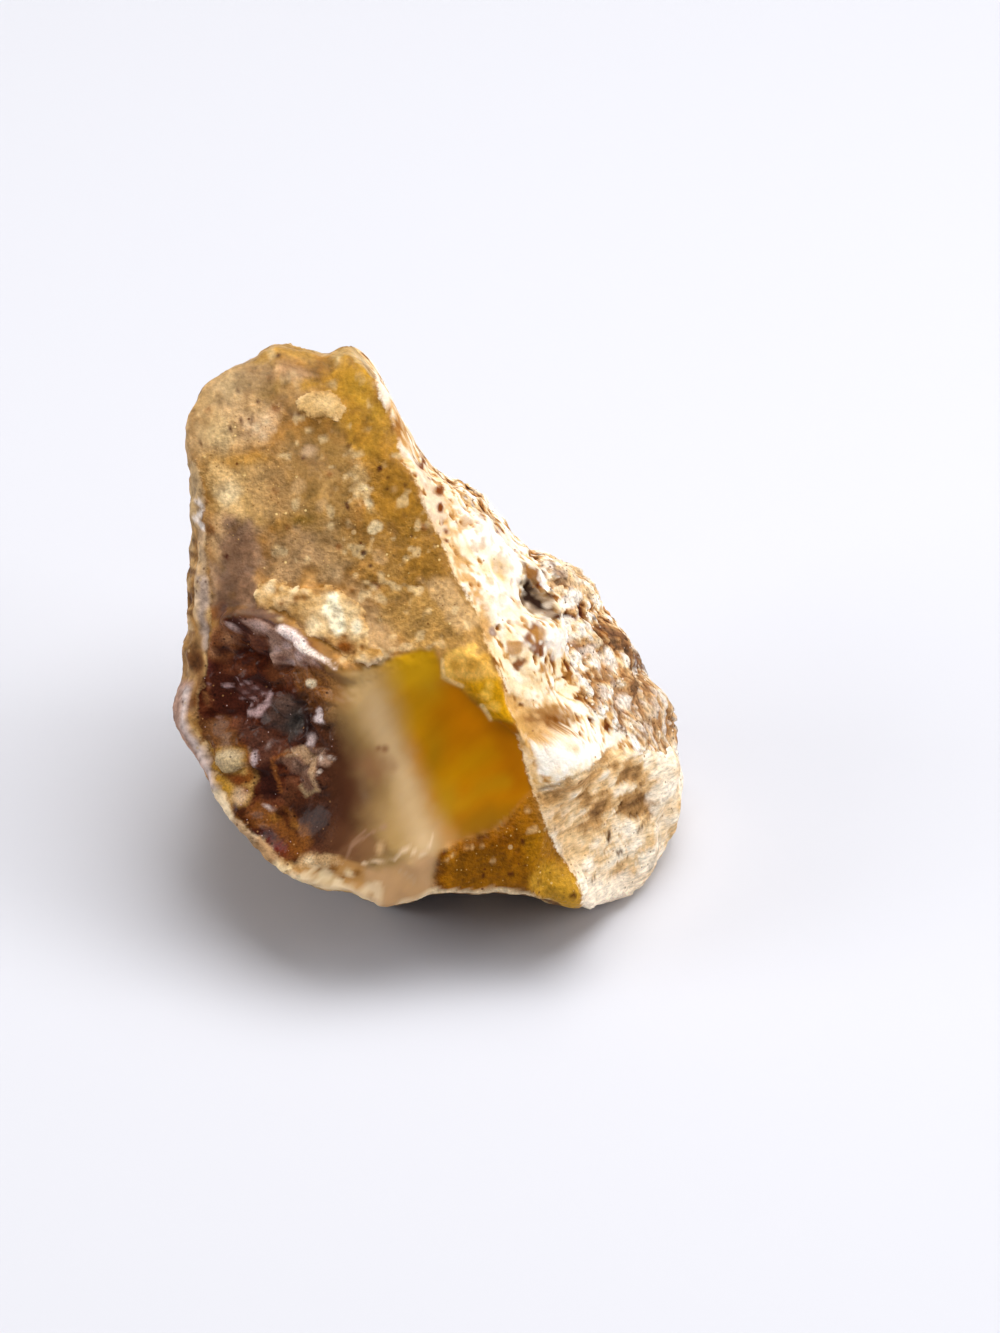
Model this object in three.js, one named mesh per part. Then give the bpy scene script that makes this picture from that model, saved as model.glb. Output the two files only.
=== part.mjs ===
// Opalized petrified wood: one broken wedge of a log, in millimetres, +Z up, resting on its flat foot.
//
// Every surface is measured as a reach from one inner point, the seed. Broken facets are planes, scooped
// hollows are spheres taken away, and knobs are spheres added. The outline that the stone shows square on
// to its broken face then corrects the reach, and relief is laid over the result by kind of surface:
// ropey bark, fibrous cut, glassy lumps, crust and rough matrix.

import * as THREE from "three";

// ---------------------------------------------------------------------------------------------------
// Driving dimensions
// ---------------------------------------------------------------------------------------------------

const FACE_LEAN = THREE.MathUtils.degToRad(40); // the broken face looks up by this much from level
const SEED_HEIGHT = 19.7; // inner point above the surface that the stone rests on
const DIVISIONS = 28; // grid steps along each edge of the six-sided net that wraps the stone
const NET_LEAN = 0.25; // how strongly the net gathers on the broken face
const EDGE_SHAKE = 0.035; // how far broken edges wander, as a share of their distance from the seed
const FOOT_EDGE_SOFT = 0.08; // how much of the reach to the foot's edge is worn round

// The face frame: x runs across the broken face, y up it and z straight out of it, from the seed.
const ACROSS = new THREE.Vector3(1, 0, 0);
const UP_FACE = new THREE.Vector3(0, Math.sin(FACE_LEAN), Math.cos(FACE_LEAN));
const OUT_OF_FACE = new THREE.Vector3(0, -Math.cos(FACE_LEAN), Math.sin(FACE_LEAN));

const direction = (x, y, z) => new THREE.Vector3(x, y, z).normalize();
const place = (x, y, z) => new THREE.Vector3(x, y, z);

// Each broken facet: the way it faces, its distance from the seed, and how softly it meets the others.
const CUT_FACET = { faces: direction(0.78, -0.24, 0.577), distance: 21.9, soft: 1.4 };
const RIND_FACET = { faces: direction(0.65, 0.33, 0.685), distance: 14.4, soft: 1.4 };
const FRONT_FACETS = [
  { faces: direction(0.06, -0.02, 1), distance: 15.6, soft: 1.4 }, // round the amber window
  { faces: direction(0.08, -0.22, 0.97), distance: 19.15, soft: 1.4 }, // strip at the foot
  { faces: direction(-0.462, -0.016, 0.887), distance: 20.35, soft: 1.4 }, // round the dark hollow
  { faces: direction(-0.03, 0.1735, 0.985), distance: 15.2, soft: 1.4 }, // long upper facet
  { faces: direction(-0.87, 0, 0.5), distance: 25.3, soft: 1.4 }, // narrow strip on the left
];
const TOP_AND_LEFT_FACETS = [
  { faces: direction(-1, 0.02, -0.08), distance: 23.6, soft: 2 },
  { faces: direction(-0.5, 0.84, 0.2), distance: 34.6, soft: 2.5 },
  { faces: direction(0.1, 0.97, 0.2), distance: 31, soft: 2 },
  { faces: direction(0.72, 0.68, 0.12), distance: 17.6, soft: 2 },
];
const BARK_FACETS = [
  RIND_FACET,
  { faces: direction(0.8, 0.58, 0.18), distance: 17.6, soft: 2 },
  CUT_FACET,
  { faces: direction(0.83, -0.53, -0.2), distance: 31, soft: 2 },
  { faces: direction(0.99, 0.05, -0.1), distance: 26.8, soft: 3 },
];
const UNDER_AND_BACK_FACETS = [
  { faces: direction(0, -1, -0.06), distance: 23, soft: 1.4 },
  { faces: direction(-0.54, -0.83, -0.12), distance: 23.6, soft: 1.5 },
  { faces: direction(-0.88, -0.45, -0.12), distance: 23.6, soft: 1.5 },
  { faces: direction(0.15, 0.547, -0.807), distance: 15, soft: 4 },
  { faces: direction(-0.65, 0.4, -0.6), distance: 20, soft: 3 },
  { faces: direction(0.6, 0.45, -0.62), distance: 19.5, soft: 4 },
];
const FACETS = [...FRONT_FACETS, ...TOP_AND_LEFT_FACETS, ...BARK_FACETS, ...UNDER_AND_BACK_FACETS];

const KNOBS = [
  { centre: place(-13.6, 28.2, 3), radius: 3.2, soft: 1.4 }, // left knob on the top
  { centre: place(-7.4, 28, 3.5), radius: 3.2, soft: 1.4 }, // right knob on the top
  { centre: place(12.2, -19.6, 9), radius: 4.4, soft: 1.4 }, // golden lobe at the foot
  { centre: place(-17, -2.2, 10.6), radius: 3.2, soft: 1.4 }, // red block in the dark hollow
  { centre: place(12.4, -9.8, 10.8), radius: 4.6, soft: 2 }, // white boss of rind beside the window
];
const HOLLOWS = [
  { centre: place(3.5, -10, 30.3), radius: 17.5, soft: 1.4 }, // amber window
  { centre: place(-20.1, -3.7, 23.7), radius: 12.5, soft: 1.4 }, // dark hollow, upper bowl
  { centre: place(-16, -13.1, 25.5), radius: 12.5, soft: 1.4 }, // dark hollow, lower bowl
  { centre: place(12.2, 6.5, 9), radius: 3.2, soft: 1.4 }, // deep pit in the rind
  { centre: place(-10.4, 33.6, 3.5), radius: 3.6, soft: 1.4 }, // notch between the knobs
];

// Outline of the stone, square on to the broken face: across and up from the seed, clockwise from the top.
const OUTLINE = [
  [-14, 31.5], [-10.2, 30.5], [-7, 31.3], [-3.5, 27.5], [-2, 23.5], [2, 18.5], [7, 15], [11, 11.3],
  [14.5, 9.8], [18, 6], [22, 0], [24.7, -4], [25.8, -8], [26.2, -13], [25.2, -18], [23, -22], [18, -24.5],
  [14, -24.5], [10, -23], [5, -23.3], [1, -23.3], [-3.5, -24.8], [-7, -23.3], [-13, -21.7], [-18, -18],
  [-21.5, -12.5], [-24, -8], [-24.8, -4.5], [-24, -2], [-23, 5], [-23.2, 10], [-23, 14], [-22.5, 19],
  [-23.3, 23], [-23, 26], [-19.5, 28.8], [-16.5, 30.8],
];
const OUTLINE_BEARINGS = 180; // bearings at which the outline is compared with the facets
const OUTLINE_TILTS = 60; // tilts searched for the farthest point at each bearing
const OUTLINE_REACHES_IN = 0.45; // share of the way out at which the outline starts to correct the face

// Lines on the broken face, as across and up.
const RIND_EDGE = [
  [16.2, -24.4], [15, -20.5], [13.5, -16.6], [11.5, -12.7], [10.4, -8.8], [9.2, -4.9], [8, -1], [6.5, 2.9],
  [4.1, 7.5], [1, 13], [-1.7, 20.8], [-3.7, 27],
];
const HOLLOW_RIM = [[-19.5, 3], [-18, 4.8], [-15, 4.6], [-12, 3], [-9.5, 0.6], [-7, -1.2]];
const LOWER_RIM = [[-22.2, -7], [-20, -12.5], [-16.5, -17.5], [-12, -20.6], [-7, -22.6]];
const CHIP_LEDGE = [[2.5, 0.5], [5.5, -3], [7, -4.8], [10, -7.5], [11.5, -10], [13.5, -12.5]];

// Wood grain: along the trunk, out through the bark, and round the trunk.
const GRAIN = direction(0.54, -0.8, 0.27);
const BARK_OUTWARD = direction(0.8, 0.58, 0.18);
const ROUND_TRUNK = new THREE.Vector3().crossVectors(GRAIN, BARK_OUTWARD);
const FIBRE = direction(0.88, 0.47, -0.99); // fibres torn across the cut facet

const MATERIAL = { color: 0xb08a55, roughness: 0.45, metalness: 0 };

// ---------------------------------------------------------------------------------------------------
// Blends and repeatable noise
// ---------------------------------------------------------------------------------------------------

const FAR = 60; // farther from the seed than any part of the stone

function smoothMin(a, b, soft) {
  const near = Math.max(soft - Math.abs(a - b), 0) / soft;
  return Math.min(a, b) - near * near * soft * 0.25;
}

const smoothMax = (a, b, soft) => -smoothMin(-a, -b, soft);

// Rises smoothly from 0 to 1 as x passes from start to end, which may lie below start.
function rise(start, end, x) {
  const t = THREE.MathUtils.clamp((x - start) / (end - start), 0, 1);
  return t * t * (3 - 2 * t);
}

// Straight-line reading of rows [key, value] whose keys increase.
function readOff(rows, key) {
  if (key <= rows[0][0]) return rows[0][1];
  for (let i = 1; i < rows.length; i += 1) {
    const [k0, v0] = rows[i - 1];
    const [k1, v1] = rows[i];
    if (key <= k1) return v0 + ((v1 - v0) * (key - k0)) / (k1 - k0);
  }
  return rows[rows.length - 1][1];
}

// A number from 0 to 1 that belongs to one corner of the unit grid.
function chance(x, y, z, salt) {
  const value = Math.sin(x * 127.1 + y * 311.7 + z * 74.7 + salt * 53.3) * 43758.5453;
  return value - Math.floor(value);
}

// Smooth lumps about one unit wide, from -1 to 1.
function noise(p, salt) {
  const cell = p.clone().floor();
  const f = p.clone().sub(cell);
  const weight = [f.x, f.y, f.z].map((t) => t * t * (3 - 2 * t));
  let total = 0;
  for (let corner = 0; corner < 8; corner += 1) {
    const step = [corner >> 2, (corner >> 1) & 1, corner & 1];
    const share = step.reduce((product, on, axis) => product * (on ? weight[axis] : 1 - weight[axis]), 1);
    total += share * chance(cell.x + step[0], cell.y + step[1], cell.z + step[2], salt);
  }
  return 2 * total - 1;
}

// Noise with finer octaves, each twice as fine and half as strong.
function fractal(p, octaves, salt) {
  let total = 0;
  let most = 0;
  for (let octave = 0; octave < octaves; octave += 1) {
    const strength = 0.5 ** octave;
    const finer = p.clone().multiplyScalar(2 ** octave).addScalar(7.3 * octave);
    total += strength * noise(finer, salt + octave);
    most += strength;
  }
  return total / most;
}

// Distances to the nearest and second nearest scattered seeds, and the nearest one's own chance.
function scattered(p, salt) {
  const cell = p.clone().floor();
  let first = 9;
  let second = 9;
  let own = 0;
  for (let n = 0; n < 27; n += 1) {
    const x = cell.x + Math.floor(n / 9) - 1;
    const y = cell.y + (Math.floor(n / 3) % 3) - 1;
    const z = cell.z + (n % 3) - 1;
    const seed = place(
      x + chance(x, y, z, salt),
      y + chance(x, y, z, salt + 1),
      z + chance(x, y, z, salt + 2),
    );
    const distance = seed.distanceTo(p);
    if (distance < first) {
      second = first;
      first = distance;
      own = chance(x, y, z, salt + 3);
    } else {
      second = Math.min(second, distance);
    }
  }
  return { first, second, own };
}

const stretched = (p, x, y, z) => place(p.x / x, p.y / y, p.z / z);
const scaled = (p, size) => p.clone().divideScalar(size);

// ---------------------------------------------------------------------------------------------------
// The bare body: facets, knobs, hollows and outline
// ---------------------------------------------------------------------------------------------------

function facetReach(facet, way) {
  const slope = facet.faces.dot(way);
  return slope > 0.001 ? Math.min(facet.distance / slope, FAR) : FAR;
}

// Where a ray from the seed enters and leaves a ball, or null where it misses.
function ballCrossing(ball, way) {
  const middle = way.dot(ball.centre);
  const under = middle * middle - ball.centre.lengthSq() + ball.radius * ball.radius;
  if (under <= 0) return null;
  const half = Math.sqrt(under);
  return { enters: middle - half, leaves: middle + half };
}

function bodyReach(straightWay) {
  const p = straightWay.clone().multiplyScalar(3.2);
  const shake = place(fractal(p, 2, 101), fractal(p, 2, 111), fractal(p, 2, 121));
  const way = straightWay.clone().addScaledVector(shake, EDGE_SHAKE).normalize();
  let reach = FAR;
  for (const facet of FACETS) {
    reach = smoothMin(reach, facetReach(facet, way), facet.soft);
  }
  for (const knob of KNOBS) {
    const crossing = ballCrossing(knob, way);
    if (crossing) reach = smoothMax(reach, crossing.leaves, knob.soft);
  }
  for (const hollow of HOLLOWS) {
    const crossing = ballCrossing(hollow, way);
    if (crossing && crossing.leaves > 0) reach = smoothMin(reach, crossing.enters, hollow.soft);
  }
  return reach;
}

// Distance from the seed to the outline at a bearing on the face.
function outlineReach(bearing) {
  const ray = [Math.cos(bearing), Math.sin(bearing)];
  const cross = (p, q) => p[0] * q[1] - p[1] * q[0];
  let reach = 0;
  OUTLINE.forEach((start, i) => {
    const end = OUTLINE[(i + 1) % OUTLINE.length];
    const edge = [end[0] - start[0], end[1] - start[1]];
    const turn = cross(ray, edge);
    const distance = cross(start, edge) / turn;
    const along = cross(start, ray) / turn;
    if (distance > 0 && along > -1e-6 && along < 1 + 1e-6) reach = Math.max(reach, distance);
  });
  return reach;
}

// For each bearing round the face: how far the bare body reaches, and what brings it to the outline.
function compareWithOutline() {
  const reaches = [];
  const corrections = [];
  for (let i = 0; i <= OUTLINE_BEARINGS; i += 1) {
    const bearing = ((i % OUTLINE_BEARINGS) / OUTLINE_BEARINGS) * 2 * Math.PI;
    let farthest = 0;
    for (let j = 0; j < OUTLINE_TILTS; j += 1) {
      const tilt = THREE.MathUtils.lerp(0.2, Math.PI - 0.3, j / (OUTLINE_TILTS - 1));
      const aside = Math.sin(tilt);
      const way = place(Math.cos(bearing) * aside, Math.sin(bearing) * aside, Math.cos(tilt));
      farthest = Math.max(farthest, bodyReach(way) * aside);
    }
    reaches.push([i, farthest]);
    corrections.push([i, outlineReach(bearing) / farthest]);
  }
  return { reaches, corrections };
}

function fitToOutline(p, outline) {
  const turn = Math.atan2(p.y, p.x) / (2 * Math.PI);
  const index = THREE.MathUtils.euclideanModulo(turn, 1) * OUTLINE_BEARINGS;
  const share = Math.hypot(p.x, p.y) / readOff(outline.reaches, index);
  const correction = readOff(outline.corrections, index);
  const scale = THREE.MathUtils.lerp(1, correction, rise(OUTLINE_REACHES_IN, 1, share));
  return place(p.x * scale, p.y * scale, p.z);
}

// ---------------------------------------------------------------------------------------------------
// Kinds of surface and their relief
// ---------------------------------------------------------------------------------------------------

const RIND_EDGE_BY_HEIGHT = RIND_EDGE.map(([across, up]) => [up, across]);

function distanceToLine(line, p) {
  let nearest = FAR;
  for (let i = 1; i < line.length; i += 1) {
    const [x0, y0] = line[i - 1];
    const ex = line[i][0] - x0;
    const ey = line[i][1] - y0;
    const along = THREE.MathUtils.clamp(((p.x - x0) * ex + (p.y - y0) * ey) / (ex * ex + ey * ey), 0, 1);
    nearest = Math.min(nearest, Math.hypot(p.x - x0 - along * ex, p.y - y0 - along * ey));
  }
  return nearest;
}

// How much of each kind of surface a point belongs to, from 0 to 1.
function kindsOfSurface(p) {
  const way = p.clone().normalize();
  const wobble = noise(scaled(p, 4), 20);
  const back = rise(0.2, -0.1, way.z);
  const front = 1 - back;
  const pastRindEdge = p.x - readOff(RIND_EDGE_BY_HEIGHT, p.y) + 0.6 * wobble;
  const frontSkin = rise(-0.5, 1.5, pastRindEdge);
  const backSkin = rise(0.05, 0.3, way.dot(BARK_OUTWARD) + 0.12 * noise(scaled(p, 7), 31));
  const skin = frontSkin * front + backSkin * back;
  const beyondCut = p.dot(CUT_FACET.faces) - CUT_FACET.distance;
  const beyondRind = p.dot(RIND_FACET.faces) - RIND_FACET.distance;
  const cut = rise(-0.8, 0.8, beyondCut - beyondRind) * frontSkin * front;
  const fromHollow = Math.hypot((p.x + 14.3 + 0.17 * (p.y + 8.3)) / 7.3, (p.y + 8.3) / 11.5);
  const dark = rise(1.12, 0.88, fromHollow + 0.07 * wobble) * front;
  const fromWindow = Math.hypot((p.x - 2.3) / 10.3, (p.y + 9.7) / 9.3);
  const window = rise(1.1, 0.95, fromWindow) * (1 - frontSkin) * front * (1 - dark);
  const fromCrust = Math.hypot((p.x + 10.5) / 6.2, (p.y - 3.6 + 0.3 * (p.x + 10)) / 2.7);
  const fromTopCrust = Math.hypot((p.x + 9) / 2.6, (p.y - 25) / 2.1);
  const crustEdge = Math.min(fromCrust, fromTopCrust) + 0.3 * noise(scaled(p, 2.6), 41);
  const crust = rise(1.3, 0.7, crustEdge) * front * (1 - dark);
  return { skin, cut, dark, window, crust, back, front };
}

// Point measured along the grain, out through the bark and round the trunk, wandering a little.
function grainPlace(p) {
  const p4 = scaled(p, 4);
  const wander = place(noise(p4, 3), noise(p4, 4), noise(p4, 5));
  return place(p.dot(GRAIN), p.dot(BARK_OUTWARD), p.dot(ROUND_TRUNK)).addScaledVector(wander, 0.9);
}

function barkRelief(grain, broad) {
  const knots = fractal(stretched(grain, 7, 4, 4), 2, 9);
  const groove = rise(0.3, 0, Math.abs(noise(stretched(grain, 12, 4.5, 4.5), 10)));
  const { first, own } = scattered(stretched(grain, 6.5, 4.5, 4.5), 11);
  const pit = rise(0.25 + 0.25 * own, 0.05, first) * rise(0.3, 0.5, own);
  return 0.5 + 1.5 * knots + 0.7 * broad - 0.7 * groove - 1.5 * pit;
}

function cutRelief(p, broad) {
  const streak = noise(place(p.dot(FIBRE) / 9, p.y / 2.6, p.z / 2.6), 71);
  return 0.5 * streak + 0.4 * broad;
}

// Broken glassy blocks, each raised or sunk as a whole.
function darkRelief(p) {
  const { first, second, own } = scattered(scaled(p, 3.6), 61);
  return 0.9 * ((0.5 - first) * 1.3 + 1.6 * (own - 0.5) * rise(0, 0.4, second - first));
}

// Long fracture steps that follow the grain.
function ledgeRelief(grain) {
  const shelf = 2.2 * noise(stretched(grain, 26, 8, 8), 12);
  const level = Math.floor(shelf);
  return level + rise(0.1, 0.9, shelf - level);
}

// Raised lines on the face: the lip of the dark hollow, the lower edge, and the chip above the window.
function faceLines(p) {
  const lip = rise(2.2, 0.2, distanceToLine(HOLLOW_RIM, p));
  const lowerEdge = rise(2.2, 0.3, distanceToLine(LOWER_RIM, p));
  const aboveLedge = p.y - readOff(CHIP_LEDGE, p.x);
  const chip = rise(-0.8, 0.8, aboveLedge) * rise(3, 6, p.x) * rise(2.5, -0.5, p.y);
  return 0.9 * lip + 0.5 * lowerEdge + 0.9 * chip;
}

// Height of the surface detail above the bare body.
function relief(p) {
  const kind = kindsOfSurface(p);
  const grain = grainPlace(p);
  const broad = fractal(scaled(p, 9), 3, 8);
  const rough = fractal(scaled(p, 3.5), 3, 81);
  const fine = noise(scaled(p, 2.6), 91);
  const core = (1 - kind.skin) * kind.front;
  const plain = core * (1 - kind.window) * (1 - kind.dark);
  const matrix = kind.back * (1 - kind.skin);
  let height = kind.skin * (1 - kind.cut) * barkRelief(grain, broad);
  height += kind.cut * cutRelief(p, broad);
  height += plain * (0.2 * fine + 0.4 * rough);
  height += core * kind.dark * darkRelief(p);
  height += core * kind.crust * (0.6 + 0.4 * fine);
  height += core * faceLines(p);
  height += matrix * (0.7 * rough + 0.5 * broad + ledgeRelief(grain));
  return height;
}

// ---------------------------------------------------------------------------------------------------
// The stone
// ---------------------------------------------------------------------------------------------------

// From the face frame to the upright frame, cut off flat at the resting surface, with a worn edge.
function standUpright(p) {
  const upright = new THREE.Vector3()
    .addScaledVector(ACROSS, p.x)
    .addScaledVector(UP_FACE, p.y)
    .addScaledVector(OUT_OF_FACE, p.z);
  const share = SEED_HEIGHT / Math.max(-upright.z, 0.1);
  upright.multiplyScalar(smoothMin(1, share, FOOT_EDGE_SOFT));
  upright.z += SEED_HEIGHT;
  return upright;
}

function stonePoint(way, outline) {
  const bare = fitToOutline(way.clone().multiplyScalar(bodyReach(way)), outline);
  const height = relief(bare);
  return standUpright(bare.addScaledVector(bare.clone().normalize(), height));
}

// Directions and faces of a net made of six square grids, wrapped round the seed as a cube is.
function wrapNet(divisions) {
  const slope = (i) => Math.tan((i / divisions - 0.5) * (Math.PI / 2));
  const steps = Array.from({ length: divisions + 1 }, (_, i) => slope(i));
  const sides = [
    (s, t) => [1, s, t],
    (s, t) => [-1, -s, t],
    (s, t) => [-s, 1, t],
    (s, t) => [s, -1, t],
    (s, t) => [-t, s, 1],
    (s, t) => [t, s, -1],
  ];
  const known = new Map();
  const ways = [];
  const faces = [];
  const gather = direction(0.1, -0.1, 1).multiplyScalar(NET_LEAN);
  const corner = (side, i, j) => {
    const way = direction(...side(steps[i], steps[j]));
    const key = way.toArray().map((value) => Math.round(value * 1e6)).join(",");
    if (!known.has(key)) {
      known.set(key, ways.length);
      ways.push(way.add(gather).normalize());
    }
    return known.get(key);
  };
  for (const side of sides) {
    for (let i = 0; i < divisions; i += 1) {
      for (let j = 0; j < divisions; j += 1) {
        const [a, b, c, d] = [corner(side, i, j), corner(side, i + 1, j), corner(side, i + 1, j + 1),
          corner(side, i, j + 1)];
        faces.push(a, b, c, a, c, d);
      }
    }
  }
  return { ways, faces };
}

function opalizedWood() {
  const outline = compareWithOutline();
  const { ways, faces } = wrapNet(DIVISIONS);
  const points = ways.flatMap((way) => stonePoint(way, outline).toArray());
  const geometry = new THREE.BufferGeometry();
  geometry.setAttribute("position", new THREE.Float32BufferAttribute(points, 3));
  geometry.setIndex(faces);
  geometry.computeBoundingBox();
  const middle = geometry.boundingBox.getCenter(new THREE.Vector3());
  geometry.translate(-middle.x, -middle.y, -geometry.boundingBox.min.z);
  geometry.computeVertexNormals();
  const mesh = new THREE.Mesh(geometry, new THREE.MeshStandardMaterial(MATERIAL));
  mesh.name = "opalized_wood";
  return mesh;
}

const group = new THREE.Group();
group.add(opalizedWood());

export default group;
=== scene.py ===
# %% [markdown]
# # Opalized petrified wood: one broken wedge of a log
#
# The stone is wood that silica has replaced. Its heart is common opal: an amber window you can almost look
# into, a milky cloud beside it and a dark glassy hollow. Round the heart runs a chalky white rind, then ropey
# bark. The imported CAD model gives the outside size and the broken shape; this lesson gives it the finer
# relief and the colours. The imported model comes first, because every piece is made in its frame.

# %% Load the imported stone
import bpy
import numpy as np
from mathutils import Matrix, Vector


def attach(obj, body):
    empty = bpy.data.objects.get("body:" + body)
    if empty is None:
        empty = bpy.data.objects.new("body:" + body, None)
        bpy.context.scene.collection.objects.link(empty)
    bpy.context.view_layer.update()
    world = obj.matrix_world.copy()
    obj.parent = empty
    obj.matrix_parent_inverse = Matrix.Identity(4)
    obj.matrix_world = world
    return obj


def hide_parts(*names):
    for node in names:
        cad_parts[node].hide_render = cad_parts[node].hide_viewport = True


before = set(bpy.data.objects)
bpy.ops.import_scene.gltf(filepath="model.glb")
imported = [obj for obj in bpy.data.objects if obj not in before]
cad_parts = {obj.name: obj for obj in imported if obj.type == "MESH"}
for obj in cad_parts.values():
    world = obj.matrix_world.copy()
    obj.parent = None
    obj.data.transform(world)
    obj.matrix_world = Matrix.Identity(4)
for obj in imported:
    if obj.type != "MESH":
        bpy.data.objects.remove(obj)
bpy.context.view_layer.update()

MM = 0.001

# %% [markdown]
# ## The face frame
#
# Nearly everything worth looking at lies on one broken face, which leans back 40 degrees from the viewer.
# Work is easier in that face's own frame: x across it, y up it and z straight out of it, in millimetres,
# from an inner point called the seed. Turning a finished row of points upright is then one matrix product.

# %% Face frame
FACE_LEAN = np.radians(40)
SEED = np.array([-0.829, 3.498, 19.7])  # the inner point in the shared frame, mm
ACROSS = np.array([1.0, 0.0, 0.0])
UP_FACE = np.array([0.0, np.sin(FACE_LEAN), np.cos(FACE_LEAN)])
OUT_OF_FACE = np.array([0.0, -np.cos(FACE_LEAN), np.sin(FACE_LEAN)])
FACE = np.stack([ACROSS, UP_FACE, OUT_OF_FACE])


def unit(v):
    """Each row divided by its length."""
    v = np.asarray(v, float)
    return v / np.linalg.norm(v, axis=-1, keepdims=True)


def direction(x, y, z):
    return unit([x, y, z])


print("out of the face, upright frame:", OUT_OF_FACE.round(3))

# %% [markdown]
# ## Blends and repeatable noise
#
# A stone needs chance, but the same chance every time. Here the chance of a grid corner is the fractional
# part of a large multiple of a sine, so there is no random state to seed. Blending the eight corners of a
# grid cube gives smooth lumps, and scattering one point in each cube gives pits, pebbles and broken blocks.

# %% Blends
FAR = 60.0  # mm, beyond any part of the stone


def soft_min(a, b, soft):
    """The smaller value, less a quarter of soft times the squared nearness of the two."""
    near = np.maximum(soft - np.abs(a - b), 0) / soft
    return np.minimum(a, b) - near * near * soft * 0.25


def soft_max(a, b, soft):
    return -soft_min(-a, -b, soft)


def rise(start, end, x):
    """0 before start, 1 past end, and 3t^2 - 2t^3 between; start may lie above end."""
    t = np.clip((x - start) / (end - start), 0, 1)
    return t * t * (3 - 2 * t)


print("a rise at its quarters:", rise(0, 4, np.arange(5)))


# %% Repeatable noise
def chance(x, y, z, salt):
    """A number from 0 to 1 for a grid corner: the fraction of 43758.5453 times the sine of a mixed sum."""
    value = np.sin(x * 127.1 + y * 311.7 + z * 74.7 + salt * 53.3) * 43758.5453
    return value - np.floor(value)


def noise(p, salt):
    """Smooth lumps one unit wide, -1 to 1: the chances of the eight nearest corners, blended."""
    cell = np.floor(p)
    t = p - cell
    t = t * t * (3 - 2 * t)
    total = 0.0
    for corner in np.ndindex(2, 2, 2):
        share = np.prod(np.where(np.array(corner) == 1, t, 1 - t), axis=1)
        total = total + share * chance(*(cell + corner).T, salt)
    return 2 * total - 1


def layered(p, layers, salt):
    """Noise plus finer noise, each layer twice as fine and half as strong, divided by the whole strength."""
    total, most = 0.0, 0.0
    for layer in range(layers):
        strength = 0.5**layer
        total = total + strength * noise(p * 2.0**layer + 7.3 * layer, salt + layer)
        most += strength
    return total / most


def scattered(p, salt):
    """Nearest and second distance to points scattered one to a cube, the way from the nearest, its chance."""
    cell = np.floor(p)
    first = np.full(len(p), 9.0)
    second = first.copy()
    own = np.zeros(len(p))
    away = np.zeros_like(p)
    for step in np.ndindex(3, 3, 3):
        x, y, z = (cell + step - 1).T
        jitter = [chance(x, y, z, salt + k) for k in range(3)]
        from_point = p - np.stack([x, y, z], -1) - np.stack(jitter, -1)
        distance = np.linalg.norm(from_point, axis=1)
        nearer = distance < first
        second = np.where(nearer, first, np.minimum(second, distance))
        first = np.where(nearer, distance, first)
        own = np.where(nearer, chance(x, y, z, salt + 3), own)
        away = np.where(nearer[:, None], from_point, away)
    return first, second, own, away


print("noise at one place:", noise(np.array([[0.2, 1.1, 3.0]]), 1).round(3))

# %% [markdown]
# ## The bare stone
#
# A broken stone is a few flat facets that meet at edges, with scooped hollows and a few knobs. From the seed
# each surface is a reach in a given direction: a plane's is its distance divided by the cosine of the slope,
# a ball's is where the ray crosses it. The softened smallest of all planes is a convex stone, knobs then
# raise it and hollows cut it. One function of direction gives the whole stone, so the mesh closes by itself.

# %% Facets, knobs and hollows
CUT_WAY, CUT_DISTANCE = direction(0.78, -0.24, 0.577), 21.9
RIND_WAY, RIND_DISTANCE = direction(0.65, 0.33, 0.685), 14.4
BARK_WAY, BARK_DISTANCE = direction(0.80, 0.58, 0.18), 17.6
SHOULDER_WAY, SHOULDER_DISTANCE = direction(0.72, 0.68, 0.12), 17.6
# The way each facet faces, its distance from the seed and how softly it meets the others, mm.
FACETS = [
    (direction(0.06, -0.02, 1.0), 15.6, 0.6),  # round the amber window
    (direction(0.08, -0.22, 0.97), 19.15, 0.6),  # strip at the foot
    (direction(-0.462, -0.016, 0.887), 20.35, 1.0),  # round the dark hollow
    (direction(-0.03, 0.1735, 0.985), 15.2, 0.8),  # long upper facet
    (direction(-0.87, 0.0, 0.5), 25.3, 0.8),  # narrow strip on the left
    (direction(-1.0, 0.02, -0.08), 23.6, 2.0),  # left side
    (direction(-0.5, 0.84, 0.2), 34.6, 2.5),  # upper left corner
    (direction(0.1, 0.97, 0.2), 31.0, 2.0),  # top
    (SHOULDER_WAY, SHOULDER_DISTANCE, 2.0),
    (RIND_WAY, RIND_DISTANCE, 0.8),
    (BARK_WAY, BARK_DISTANCE, 2.0),
    (CUT_WAY, CUT_DISTANCE, 0.8),
    (direction(0.83, -0.53, -0.2), 31.0, 2.0),  # lower right corner
    (direction(0.99, 0.05, -0.1), 26.8, 3.0),  # right side
    (direction(0.0, -1.0, -0.06), 23.0, 0.5),  # underside, front
    (direction(-0.54, -0.83, -0.12), 23.6, 0.5),  # underside, front left
    (direction(-0.88, -0.45, -0.12), 23.6, 0.6),  # lower left
    (direction(0.15, 0.547, -0.807), 15.0, 4.0),  # back
    (direction(-0.65, 0.4, -0.6), 20.0, 3.0),  # back, left
    (direction(0.6, 0.45, -0.62), 19.5, 4.0),  # back, right
]
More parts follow.
